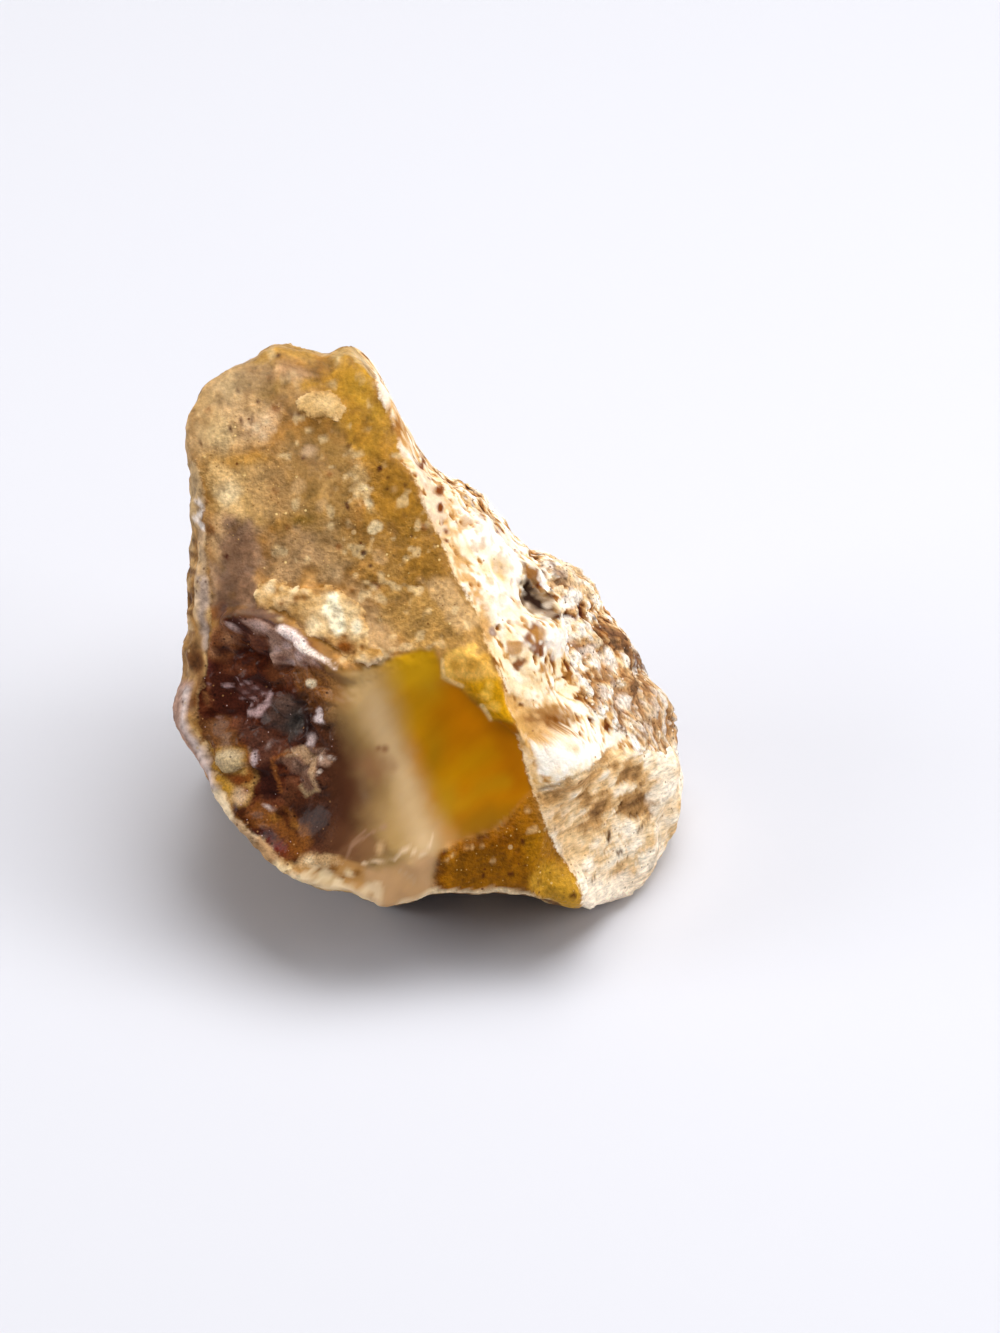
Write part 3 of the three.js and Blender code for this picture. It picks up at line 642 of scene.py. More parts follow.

# %% [markdown]
# ## The amber window and its milky cloud
#
# Here the opal is clear enough to glow, and its glow is partly painted into the colour. What the eye takes for
# depth is colour that shifts softly: plum on the left, then milk with a painted highlight down it, then amber
# that is olive at the top, orange at the right and golden along one slant.
# Soft bands across the face say this better than real glass would, and they stay in the surface's colour.

# %% Window
WINDOW_BORDER = [
    (-10, 2), (-7.8, -1), (-6, -1), (-4, -0.5), (-2.4, 0.4), (0, 1.1), (1.4, 1), (2, 0), (2.1, -1.8),
    (3, -2.3), (4, -2.8), (5, -3.9), (6.1, -4.8), (7, -6), (9.1, -6.1), (9.9, -8), (10.5, -10), (11.2, -13.1),
    (10, -14.2), (9, -15.6), (7.6, -16.8), (5.4, -17.6), (3.2, -18.3), (1.9, -19.2), (1.4, -20.4),
    (0.9, -25.6), (-6, -25), (-8.6, -23.4), (-12, -22), (-12, 2),
]
# Up, then where the plum gives way to milk and the milk to amber, across.
CLOUD_EDGES = np.array([
    (-25, -5.4, 3.2), (-20, -5, 3.2), (-18, -4.6, 2.8), (-16, -4.2, 1.7), (-14, -4, 0.7), (-12, -4, 0),
    (-10, -4.5, -0.9), (-8, -5.9, -1.7), (-5, -7.7, -2.5), (-3, -8.8, -2.9), (0, -9.8, -3.6),
])


def window_colour():
    """Amber stained in soft bands, milk by a rise before its right edge with a painted highlight down its
    middle, plum by one past its left edge.
    """
    amber = stained(flat("#b06e00"), [
        ("#c09010", 0.95, 1.9, 0.2, patch, (-5, 2), (2, 2), (2.4, -1.6), (1.8, -3.6), (-4, -4)),
        ("#b27f08", 0.9, 1.6, 0.2, patch, (-4, -3), (1, -3.6), (0.8, -8), (-3, -8)),
        ("#8f6a08", 0.8, 1.6, 0.3, oval, 1.3, -9.6, 1.1, 2.2, -10),
        ("#c07400", 0.85, 1.8, 0.3, patch, (2.6, -2.6), (5.6, -4.6), (7.4, -6.4), (6.6, -8), (3.6, -7.6)),
        ("#a66200", 0.85, 1.3, 0.3, patch, (7, -6.4), (9.2, -6.2), (10.6, -10), (11.2, -13), (9, -13),
         (8, -10)),
        ("#b67e02", 0.9, 1.6, 0.4, patch, (1.6, -12.4), (4, -9.4), (6.6, -8.4), (7.4, -9.4), (5.6, -11),
         (2.6, -13.4)),
        ("#a97c10", 0.85, 1.2, 0.4, patch, (1, -12), (3.4, -12.4), (4.4, -14), (3, -16.6), (1.4, -15.6)),
        ("#b07c08", 0.7, 0.8, 0.3, stroke, 0.7, (4.4, -14.4), (6, -12.8), (8.4, -12.2)),
        ("#8a5e08", 0.85, 1.4, 0.4, patch, (3.4, -15.8), (7, -14.6), (9.4, -14.8), (8, -18), (3, -19)),
        ("#7f5312", 0.6, 0.7, 0.4, patch, (5, -17), (9, -15.8), (8, -18), (4, -18.4)),
    ])
    x, y = DRAWN.T
    left = np.interp(y, CLOUD_EDGES[:, 0], CLOUD_EDGES[:, 1]) + 0.7 * RAGGED
    right = np.interp(y, CLOUD_EDGES[:, 0], CLOUD_EDGES[:, 2]) + 0.3 * RAGGED
    milk = rise(right + 2.3, right - 2.1, x)
    colour = laid(amber, "#a98753", milk * rise(2.4, -1.8, y + 0.5 * RAGGED))
    # Painted highlight: a soft bright band down the middle of the milk.
    milk_highlight = rise(3, 0, np.abs(x - (left + 2 * right) / 3))
    colour = laid(colour, "#c6a67a", 0.85 * milk * milk_highlight * rise(0, -6, y))
    colour = laid(colour, "#4e2c1a", rise(left + 2.4, left - 3.6, x))
    return stained(colour, [
        ("#3a1a12", 0.3, 1.8, 0.8, patch, (-13, -9), (-9.4, -9.4), (-8.4, -12), (-7.6, -18.5), (-13, -20)),
        ("#86582c", 0.8, 1.2, 0.5, patch, (-12, 1), (-7.4, -1), (-7.2, -4.4), (-9, -5), (-12, -4)),
        ("#8a5d40", 0.5, 0.9, 0.8, oval, -4.6, -10.6, 1.8, 1.4),
        ("#7e5233", 0.8, 0.3, 0.2, dots, (-3.5, -8.9, 0.4), (-4.1, -8.8, 0.2)),
        ("#5c3822", 0.6, 0.8, 0.8, patch, (-10.4, -16), (-6.8, -16.4), (-6.4, -19), (-8, -19.8),
         (-10.4, -19)),
        ("#805638", 0.7, 0.8, 0.9, patch, (-9, -19.6), (-5.6, -17), (-3.4, -18.6), (-3, -20), (-8, -20.6)),
        ("#9d785c", 0.7, 0.12, 0.1, stroke, 0.12, (-6.8, -18.6), (-5, -17.4), (-3.4, -16.6)),
        ("#9d785c", 0.7, 0.12, 0.1, stroke, 0.12, (-7.2, -19.8), (-6.9, -18.4), (-5.4, -17)),
    ])


WINDOW_MM = patch(DRAWN, *WINDOW_BORDER)
WINDOW = window_colour()
print("milk is", float(CLOUD_EDGES[5, 2] - CLOUD_EDGES[5, 1]), "mm wide at the middle of the window")
tell("window,", WINDOW)

# %% Chip over the window, strip and lobe at the foot
STRIP_BORDER = [(1.4, -20.4), (1.9, -19.2), (3.2, -18.3), (5.4, -17.6), (7.6, -16.8), (9, -15.6), (10, -14.2),
                (11.3, -13.1), (12.4, -15.6), (13, -17.8), (14.4, -20.2), (15.6, -21.2), (16.1, -23),
                (16.2, -27), (0.9, -27)]


def foot_and_chip(colour):
    """Golden chips over the window with painted highlights along the chip's edge; at the foot, rough brown
    amber that ends in a golden lobe.
    """
    strip = ramp(0.5 + 0.4 * MOTTLE + 0.4 * GRIT, (0.2, "#5a3000"), (0.5, "#804a00"), (0.8, "#a06406"))
    inside = patch(DRAWN, *STRIP_BORDER) + 0.25 * RAGGED
    colour = blended(colour, strip, rise(-0.3, 0.3, inside))
    return stained(colour, [
        ("#eeb856", 0.95, 0.5, 0.8, patch, (2.2, -0.2), (2.8, 1), (6, 0.8), (7.2, -0.6), (8, -2), (5, -2.6),
         (3, -2.4)),
        ("#f0bd5a", 0.8, 0.3, 0.4, dots, (2.8, -1.3, 0.5), (3.6, 0.6, 0.4), (5.2, 1.2, 0.5),
         (4.4, -1.6, 0.3)),
        ("#bd8626", 0.7, 0.4, 0.5, dots, (5, -0.6, 0.6), (3.6, -0.6, 0.5), (6.2, 0.2, 0.5)),
        ("#d69a08", 0.95, 0.6, 0.5, patch, (3.6, -2), (5.6, -1.8), (7.6, -1.6), (8.6, -4), (9.2, -6),
         (7.2, -6), (5.9, -4.2)),
        ("#f5c04a", 0.85, 0.3, 0.4, dots, (6.2, -3.3, 0.45), (7, -4.4, 0.4), (6.6, -2.4, 0.3)),
        # Painted highlights: the two thin bright lines along the chip's edge.
        ("#e8c07c", 0.9, 0.12, 0.12, stroke, 0.2, (2.2, 0), (2.3, -1.8), (3.4, -2.3), (4.2, -2.6)),
        ("#f3d492", 0.95, 0.1, 0.08, stroke, 0.2, (6.2, -4.6), (6.6, -5.2), (7, -6)),
        ("#8e5a0a", 0.5, 1.0, 1.0, patch, (2.6, -20), (7, -18.6), (12, -21), (12, -26), (2.4, -26)),
        ("#5a3510", 0.9, 0.4, 0.5, dots, (2, -20.4, 0.5), (2.1, -21.4, 0.5), (1.8, -22.4, 0.4)),
        ("#9a6008", 0.8, 0.8, 0.7, oval, 11.2, -15.8, 1.5, 1.9),
        ("#a06a08", 0.9, 0.9, 0.6, patch, (10.6, -18), (12.6, -16.6), (13.6, -18.6), (15, -21), (12, -22),
         (10.4, -20.4)),
        ("#c08e28", 0.95, 0.6, 0.5, patch, (11.2, -22), (12.6, -20.4), (14.6, -20.6), (15.8, -22),
         (16.2, -24), (15.6, -26), (12, -24.8)),
        ("#96641f", 0.8, 0.9, 0.5, stroke, 0.5, (11.3, -12.8), (12.2, -14.6), (12.9, -16.4), (13.7, -18.4),
         (14.8, -20.1)),
        ("#9c6c30", 0.8, 0.5, 0.4, patch, (11.5, -13.4), (12.6, -15), (13.4, -17.4), (12.6, -17),
         (11.6, -14.8)),
        ("#c9a06a", 0.8, 0.15, 0.2, dots, (11.4, -16.9, 0.35), (10.9, -17.1, 0.25), (7.3, -20.1, 0.25),
         (4.6, -18.6, 0.18), (5.2, -18.6, 0.2), (3.2, -19.4, 0.2), (2.7, -20, 0.2), (6.2, -18.5, 0.15),
         (10.8, -15, 0.2)),
        ("#4d2207", 0.95, 0.15, 0.15, dots, (9, -21.2, 0.3), (15.1, -23.2, 0.32), (2.4, -19.2, 0.3),
         (10.3, -18.2, 0.25), (12, -22.2, 0.2), (6.4, -21.6, 0.2), (10.4, -20.4, 0.2)),
    ])


HEART = blended(foot_and_chip(HEART), WINDOW, rise(-0.3, 0.35, WINDOW_MM + 0.15 * RAGGED))
tell("heart with its window,", HEART)


# %% Grey milk along the foot, its veins and a painted highlight on its edge
def foot_of_window(colour):
    """Plum-grey opal under the milk, crossed by fine pale veins, and a thin pale line along the foot's edge, a
    painted highlight.
    """
    broken = rise(-19, -20.6, DRAWN[:, 1]) * rise(2.2, 1, DRAWN[:, 0])
    colour = colour * (1 + broken * (0.5 * MOTTLE + 0.3 * GRIT))[:, None]
    return stained(colour, [
        ("#c0966a", 0.9, 0.7, 0.8, patch, (-8, -21), (-3, -20.6), (0.4, -19.9), (1.7, -19.4), (1, -27),
         (-9, -27)),
        ("#b5854c", 0.97, 0.4, 0.6, patch, (-14, -20.4), (-11.4, -20), (-8.4, -19.8), (-5.6, -20.8),
         (-5.4, -25), (-14, -24)),
        ("#e3caa0", 0.9, 0.3, 0.7, dots, (-10.8, -20.6, 0.8), (-9.6, -21.8, 0.8), (-11.6, -21.6, 0.6),
         (-7.2, -21.6, 0.5), (-8.4, -22.6, 0.6)),
        ("#7c4c1c", 0.85, 0.25, 0.6, dots, (-10.2, -21.3, 0.25), (-8.8, -21, 0.4), (-7.8, -22, 0.3),
         (-6.4, -21.4, 0.4)),
        ("#be9464", 0.7, 0.7, 0.9, dots, (-2.4, -21.2, 0.9), (-0.6, -22.8, 0.9), (-4.6, -22.6, 0.8)),
        ("#d0aa78", 0.8, 0.3, 0.5, oval, -4, -19.1, 0.4, 0.8),
        ("#d4b692", 0.9, 0.12, 0.1, stroke, 0.16, (-5.6, -20.3), (-4, -20.2), (-2.6, -20.1), (-2, -19.3),
         (-1.4, -18.9), (-0.5, -19.3), (0.2, -19.4), (0.8, -19), (1.1, -18.3), (1.3, -17.8)),
        ("#bf9c76", 0.8, 0.12, 0.1, stroke, 0.14, (-2, -21.1), (-0.8, -21.7), (-0.4, -22.4)),
        ("#dfc29a", 0.9, 0.3, 0.5, stroke, 0.45, (-5.9, -23.4), (-4.9, -22.8), (-4.3, -22.6), (-4.2, -24)),
        # Painted highlight: the thin pale line along the rounded edge of the foot.
        ("#e9d0a8", 0.9, 0.2, 0.2, stroke, 0.3, (-13, -21.5), (-10, -22.8), (-7, -23.1), (-5.2, -24),
         (-3.5, -24.8), (-0.6, -24.2), (1, -23.5), (3, -23.3), (5.5, -23.5), (8, -23.3), (11, -23.7),
         (13, -24.3)),
    ])


HEART = foot_of_window(HEART)
tell("heart down to its foot,", HEART)

# %% [markdown]
# ## The dark hollow
#
# Iron-rich opal broke here into glassy blocks, garnet to plum, with bright edges, some of them painted
# highlights. Each scattered point owns a block, and the block is one tilted plane: the way from the point,
# times a tilt drawn from its own chance.

# %% Glassy blocks
BLOCK_SIZE, CHIP_SIZE = 2.2, 0.9  # mm


def glassy_blocks(size, salt):
    """Height of tilted blocks in sizes: way from the point x own tilt, low along cracks; and own chance."""
    first, second, own, away = scattered(BARE / size, salt)
    tilt = unit(np.stack([np.sin(own * 41), np.sin(own * 57 + 1), np.sin(own * 91 + 2)], -1))
    cracks = rise(0.16, 0, second - first)
    return (away * tilt).sum(axis=1) * (1 - cracks) - 0.12 * cracks, own


BLOCKS, BLOCK_TONE = glassy_blocks(BLOCK_SIZE, 151)
CHIPS, CHIP_TONE = glassy_blocks(CHIP_SIZE, 156)
HOLLOW_BORDER = [(-21.6, 1), (-20.6, 3.2), (-18.6, 4.4), (-15, 4.3), (-12, 2.9), (-9.6, 0.8), (-7.4, -0.8),
                 (-6, -3), (-6, -18), (-8, -20.4), (-9.6, -20.6), (-12, -21.2), (-14.4, -20), (-16.8, -17.8),
                 (-18.8, -15.4), (-20.2, -13), (-21.2, -10.6), (-22, -8), (-22.6, -5.4), (-22.8, -2.6),
                 (-22.4, -0.6)]
print("blocks", BLOCK_SIZE, "mm, chips", CHIP_SIZE, "mm, highest in sizes:", BLOCKS.max().round(2))


# %% Colour of the hollow
def hollow_colour():
    """Garnet to plum by the tone of each block, chips and fine noise; the window's colour at its right; pale
    pinkish spots and streaks painted on as highlights.
    """
    tone = 0.5 * BLOCK_TONE + 0.18 * CHIP_TONE + 0.3 * (0.5 + 0.6 * GRIT) + 0.2 * MOTTLE
    colour = ramp(tone, (0.15, "#2d0d04"), (0.4, "#451a09"), (0.65, "#5f2f19"), (0.9, "#814e32"))
    across, up = DRAWN.T
    near_window = 0.95 * rise(-13, -9.2, across) * rise(-0.4, -2, up)
    colour = blended(colour, WINDOW, near_window)
    return stained(colour, [
        ("#7a4828", 0.9, 0.5, 0.9, patch, (-22, 4.6), (-19, 5), (-18.4, 2.6), (-18.8, 0.4), (-22, -0.2)),
        ("#b07a50", 0.8, 0.3, 0.7, dots, (-20.8, 3.2, 0.7), (-19.6, 2.2, 0.5), (-21, 0.8, 0.5),
         (-19.2, 4, 0.4)),
        ("#34100a", 0.8, 0.3, 0.6, dots, (-20, 1, 0.5), (-18.4, 0.4, 0.7), (-20.6, -0.8, 0.5)),
        ("#6b3c20", 0.8, 0.6, 0.8, patch, (-15.4, 0), (-12, -0.6), (-12, -3), (-15, -2.6)),
        ("#5b2c26", 0.8, 0.4, 0.4, oval, -21.6, -0.7, 0.6, 1.2, 10),
        ("#85562a", 0.7, 0.7, 0.9, patch, (-13.6, -0.4), (-9.6, -0.8), (-9.6, -3), (-12, -2.6)),
        ("#3f1a10", 0.9, 0.3, 0.5, patch, (-21.2, -1.4), (-15.2, -1.3), (-14.9, -3), (-15.6, -5.2),
         (-17.2, -5.9), (-20.4, -5.8)),
        ("#5c332a", 0.8, 0.3, 0.6, oval, -17, -3.2, 1.3, 1.1),
        # Painted highlights: the pale pinkish dots on the red block.
        ("#a88885", 0.9, 0.12, 0.2, dots, (-17.6, -2.4, 0.16), (-16.9, -2.2, 0.18), (-16.4, -2.8, 0.16),
         (-17.3, -3.2, 0.2), (-16.7, -3.8, 0.18), (-17.8, -3.8, 0.14), (-16, -3.4, 0.14), (-19.1, -2.6, 0.2),
         (-18.1, -1.9, 0.14), (-17.1, -4.6, 0.2), (-21.3, -2.5, 0.2), (-20.5, -5.9, 0.2)),
        # Painted highlight: the pale streak along the red block's lower edge.
        ("#b2928f", 0.95, 0.2, 0.3, stroke, 0.32, (-17.2, -5.3), (-16, -5.2), (-15.4, -4.4), (-15.1, -3.5)),
        ("#8a5a34", 0.8, 0.12, 0.12, stroke, 0.12, (-21.6, -3.2), (-21, -4.8), (-20.6, -5.8)),
        ("#4a352c", 0.95, 0.4, 0.3, oval, -13.6, -5.6, 1.5, 2.2, -10),
        ("#403a35", 0.85, 0.6, 0.3, oval, -12.8, -6.6, 0.9, 1.5, -20),
        ("#5c463c", 0.7, 0.4, 0.4, oval, -13.8, -4.2, 0.9, 0.6),
        ("#26120f", 0.9, 0.35, 0.3, stroke, 0.5, (-12.2, -3.8), (-11.5, -5.4), (-11.6, -7.2)),
        ("#4d2d22", 0.8, 0.6, 0.8, patch, (-18.4, -6.4), (-14.8, -6.4), (-14, -8.6), (-15.6, -11),
         (-17, -9.6)),
        ("#30140e", 0.9, 0.4, 0.5, patch, (-16.4, -11), (-14.8, -10), (-14.2, -12), (-13.6, -14), (-16, -14)),
        # Painted highlights: the pale lilac and pinkish-white spots in the next four rows.
        ("#bca6a4", 0.92, 0.2, 0.3, oval, -16.7, -10, 0.45, 0.8, -15),
        ("#d9c6c3", 0.95, 0.2, 0.25, dots, (-10.3, -6, 0.5), (-10.5, -5.2, 0.3), (-9.8, -6.2, 0.25)),
        ("#c9b1ab", 0.9, 0.2, 0.25, oval, -11.2, -8.2, 0.35, 0.7, -10),
        ("#a08a82", 0.9, 0.2, 0.25, oval, -15.3, -8.6, 0.2, 0.5, -20),
        ("#a8846c", 0.85, 0.25, 0.6, oval, -9.6, -10, 0.9, 0.5, -20),
        ("#d6bfae", 0.9, 0.15, 0.2, dots, (-10, -9.9, 0.22), (-9, -9.7, 0.2), (-8.6, -9.9, 0.15),
         (-9.9, -11, 0.16)),
        # Painted highlight: a thin pale streak.
        ("#e2cfc5", 0.95, 0.15, 0.15, oval, -15.2, -14.9, 0.65, 0.25, -22),
        ("#7c5844", 0.9, 0.3, 0.5, patch, (-14.4, -10), (-12.8, -9.2), (-11.2, -9), (-10.4, -10.8),
         (-10, -12.9), (-11.4, -13.8), (-12, -12.4), (-13.4, -11)),
        ("#b08c68", 0.95, 0.2, 0.3, stroke, 0.32, (-13.4, -9.6), (-12, -9.2), (-11, -10.2), (-10.4, -11.8),
         (-10.2, -12.8)),
        ("#b99a70", 0.9, 0.2, 0.3, stroke, 0.25, (-10.4, -12.9), (-11.4, -13.7), (-12, -12.7)),
        ("#8d6c58", 0.8, 0.25, 0.5, dots, (-12.4, -10.4, 0.5), (-11.6, -11.2, 0.4)),
        ("#b59a78", 0.8, 0.2, 0.3, oval, -11.5, -13.3, 0.3, 0.5, -20),
        ("#8a5024", 0.95, 0.12, 0.1, stroke, 0.13, (-14.9, -9.9), (-14.6, -11.6), (-14, -13.4)),
        ("#8a5024", 0.9, 0.12, 0.1, stroke, 0.12, (-14.7, -9.9), (-13, -9.3)),
        ("#4a2614", 0.8, 0.4, 0.7, patch, (-14, -11.4), (-12.6, -12.2), (-11.4, -13.8), (-10.2, -13.2),
         (-10, -15.4), (-13.4, -15)),
        ("#b68c4c", 0.95, 0.5, 0.7, patch, (-22, -8.6), (-19.8, -8.4), (-17.3, -9.2), (-16.9, -12.4),
         (-17.4, -14.8), (-19.4, -14.6), (-21.6, -10)),
        ("#c0a080", 0.8, 0.3, 0.4, dots, (-19.3, -7.8, 0.5), (-18.4, -13.8, 0.8), (-21, -8.4, 0.4),
         (-17.6, -10.4, 0.4)),
        ("#c9963a", 0.9, 0.4, 0.5, dots, (-20.6, -11.4, 0.8), (-19.6, -13.2, 0.5), (-20.8, -9.6, 0.5)),
        ("#6d3910", 0.95, 0.25, 0.4, stroke, 0.4, (-20.6, -8.4), (-20.2, -11.2), (-19, -12), (-17.8, -12)),
        ("#7a4314", 0.9, 0.25, 0.4, stroke, 0.3, (-18, -8.2), (-17.2, -10), (-17.4, -12)),
        ("#6b4220", 0.9, 0.5, 0.7, patch, (-22.6, -5.6), (-20, -6), (-17.6, -7.6), (-18, -8.8), (-22, -8.8)),
        ("#8a6226", 0.9, 0.2, 0.15, oval, -19.1, -10.1, 1.6, 1.5),
        ("#ae966e", 1.0, 0.15, 0.1, oval, -19.1, -10.1, 1.3, 1.2),
        ("#bda580", 0.7, 0.3, 0.2, oval, -19.2, -9.9, 0.8, 0.7),
        ("#6d3512", 0.9, 0.3, 0.4, dots, (-18.4, -12.4, 0.5), (-17.8, -13.2, 0.3)),
        ("#74441a", 0.55, 0.8, 0.8, patch, (-12.4, -2.4), (-9.8, -2), (-9.4, -5), (-11.4, -5)),
        ("#e6d2ae", 0.9, 0.2, 0.15, oval, -11.1, -2.4, 0.38, 0.36),
        ("#2c140b", 0.8, 0.8, 0.8, patch, (-13, -14.4), (-9, -14.6), (-9, -18.6), (-11.6, -18.6)),
        ("#6f3f12", 0.9, 0.6, 0.9, patch, (-18.4, -15.2), (-16.4, -14.4), (-13.6, -15.4), (-10.8, -17.4),
         (-10.6, -20.8), (-13.4, -20.4), (-16.6, -17.4)),
        ("#360a05", 0.95, 0.3, 0.7, patch, (-17.8, -16.8), (-15, -17.2), (-12.8, -17.8), (-12.8, -18.5),
         (-16.8, -18.2)),
        ("#5c160a", 0.95, 0.3, 0.7, patch, (-15.6, -18.4), (-13, -18.4), (-12.8, -19.6), (-15, -19.8)),
        ("#7d4a1a", 0.45, 0.5, 1.4, patch, (-15.8, -15.2), (-13, -15.4), (-11, -17.4), (-10.8, -20),
         (-12.4, -19.8), (-13.2, -17.6)),
        ("#946226", 0.7, 0.3, 0.6, dots, (-12.6, -16.7, 0.4), (-14.6, -15.9, 0.35), (-12.2, -19.4, 0.4)),
        ("#3a1408", 0.8, 0.25, 0.5, stroke, 0.25, (-13.8, -15.8), (-12.4, -17.6), (-11.6, -19.6)),
        ("#2e0f06", 0.85, 0.3, 0.4, dots, (-17.9, -15.3, 0.45), (-16.6, -16, 0.35), (-12.9, -20.3, 0.35),
         (-14, -15.2, 0.3)),
        ("#bf9a6c", 0.95, 0.3, 0.7, patch, (-13.4, -21.4), (-11.6, -19), (-9, -19.4), (-6, -20.2), (-6, -24),
         (-12, -23.4)),
        ("#e6cba2", 0.9, 0.3, 0.6, dots, (-11.2, -20.2, 0.7), (-9.8, -21.4, 0.7), (-8, -21, 0.5),
         (-8.8, -22.4, 0.5)),
        ("#b5832a", 0.85, 0.4, 0.6, patch, (-22.2, -8.4), (-21, -8.6), (-20.2, -11), (-19.4, -13.2),
         (-20.6, -13), (-21.6, -10.6)),
        ("#e8d2ac", 0.9, 0.2, 0.2, stroke, 0.3, (-20.6, -13.2), (-18.9, -15.9), (-16.7, -18.3),
         (-14.4, -20.7), (-12, -22.1)),
    ])


HOLLOW = hollow_colour()
tell("hollow,", HOLLOW)

# %% Lilac lip of the hollow: a painted reflection
LIP = [(-17.4, 3.9), (-15.5, 4.2), (-13.8, 3.5), (-12, 2.6), (-8, -0.3), (-7.8, -1.1), (-10.4, -0.6),
       (-13, -0.7), (-14.8, -0.3), (-15.7, 1.4), (-15.4, 2.4), (-16.6, 2.8)]


def lip_painted_reflection(colour):
    """Painted reflection on the rounded lip over a faint milky tone of the opal: lilac over the dark opal, a
    pinkish-white highlight band, cream towards its right end.
    """
    return stained(colour, [
        ("#452822", 0.9, 0.4, 0.4, stroke, 0.5, (-19.6, 4.3), (-16, 4.8), (-14.2, 4.3), (-13.2, 3.8)),
        ("#ab8672", 0.9, 0.35, 0.8, patch, *LIP),
        ("#c4a498", 0.85, 0.3, 0.6, oval, -15.6, 3.3, 1.3, 0.55, -14),
        ("#c9aca4", 0.8, 0.25, 0.6, dots, (-14.6, 1, 0.5), (-13.6, 1.4, 0.4), (-12.4, 0.4, 0.5),
         (-13.2, -0.3, 0.4), (-11.4, 0.6, 0.4), (-18.5, 3.4, 0.3), (-10.2, -0.1, 0.4)),
        ("#683e30", 0.8, 0.3, 0.5, dots, (-13.6, 2.3, 0.35), (-12.8, 1, 0.3), (-14, 0.2, 0.3),
         (-11.8, -0.4, 0.4), (-14.3, 2.7, 0.3)),
        # Painted highlight: the pinkish-white band along the crest of the lip.
        ("#f4ddd4", 0.97, 0.25, 0.35, stroke, 0.55, (-13.3, 2.9), (-12.2, 2.2), (-11.2, 1.3)),
        ("#fce8d8", 0.97, 0.2, 0.25, stroke, 0.42, (-11.2, 1.2), (-9.4, 0.2), (-8.2, -0.5), (-7.4, -0.8)),
    ])


HOLLOW_RIGHT = -8.6  # mm across, where the hollow has faded into the window
HOLLOW_MM = np.minimum(patch(DRAWN, *HOLLOW_BORDER), 0.35 * (HOLLOW_RIGHT - DRAWN[:, 0])) + 0.3 * RAGGED
HOLLOW = lip_painted_reflection(HOLLOW)
print("corners in the hollow:", int((HOLLOW_MM > 0).sum()))
tell("hollow with its lip,", HOLLOW)

# %% [markdown]
# ## Rind, bark and torn fibres
#
# Outwards from the heart the stone turns to chalk, white where it is clean. The bark beyond keeps the ropes and
# pits of the wood, so its pattern is stretched along the grain, and where it is sunk it is painted darker
# brown: painted shade.
# Across the grain at the lower right the wood was torn, and fibres show as streaks that rise to the right.

# %% Grain
GRAIN = direction(0.54, -0.80, 0.27)  # along the trunk
ROUND_TRUNK = np.cross(GRAIN, BARK_WAY)
FIBRE = direction(0.88, 0.47, -0.99)  # along the torn fibres
ACROSS_FIBRE = unit(np.cross(FIBRE, CUT_WAY))
WANDER = np.stack([noise(BARE / 4, salt) for salt in (3, 4, 5)], -1)  # bends the grain
GRAIN_PLACE = BARE @ np.stack([GRAIN, BARK_WAY, ROUND_TRUNK]).T + 0.9 * WANDER
BROAD = layered(BARE / 9, 3, 8)
LOG_SWELL = 0.5 + 1.5 * layered(GRAIN_PLACE / (7, 4, 4), 2, 9) + 0.7 * BROAD  # mm
PAST_RIND_EDGE = 0.9 * (DRAWN[:, 0] - np.interp(DRAWN[:, 1], RIND_EDGE[:, 1], RIND_EDGE[:, 0]))
BARK_BORDER = [(14.2, 6.6), (13.6, 4), (14.2, 1.8), (14.8, -0.4), (16, -3), (17.4, -5.8), (18.6, -4),
               (19.3, -6.8), (21, -7.4), (22.2, -8.6), (24.8, -9.6), (32, -9.8), (32, 34), (-4, 34),
               (-3.4, 27), (-1.9, 24.4), (2.3, 18.9), (7.2, 15), (10.8, 11.6), (12.4, 9.4), (12.8, 7)]
BARK_MM = patch(DRAWN, *BARK_BORDER) + 0.6 * RAGGED
print("corners of bark on the front:", int(((BARK_MM > 0) & (KIND["front"] > 0.5)).sum()))


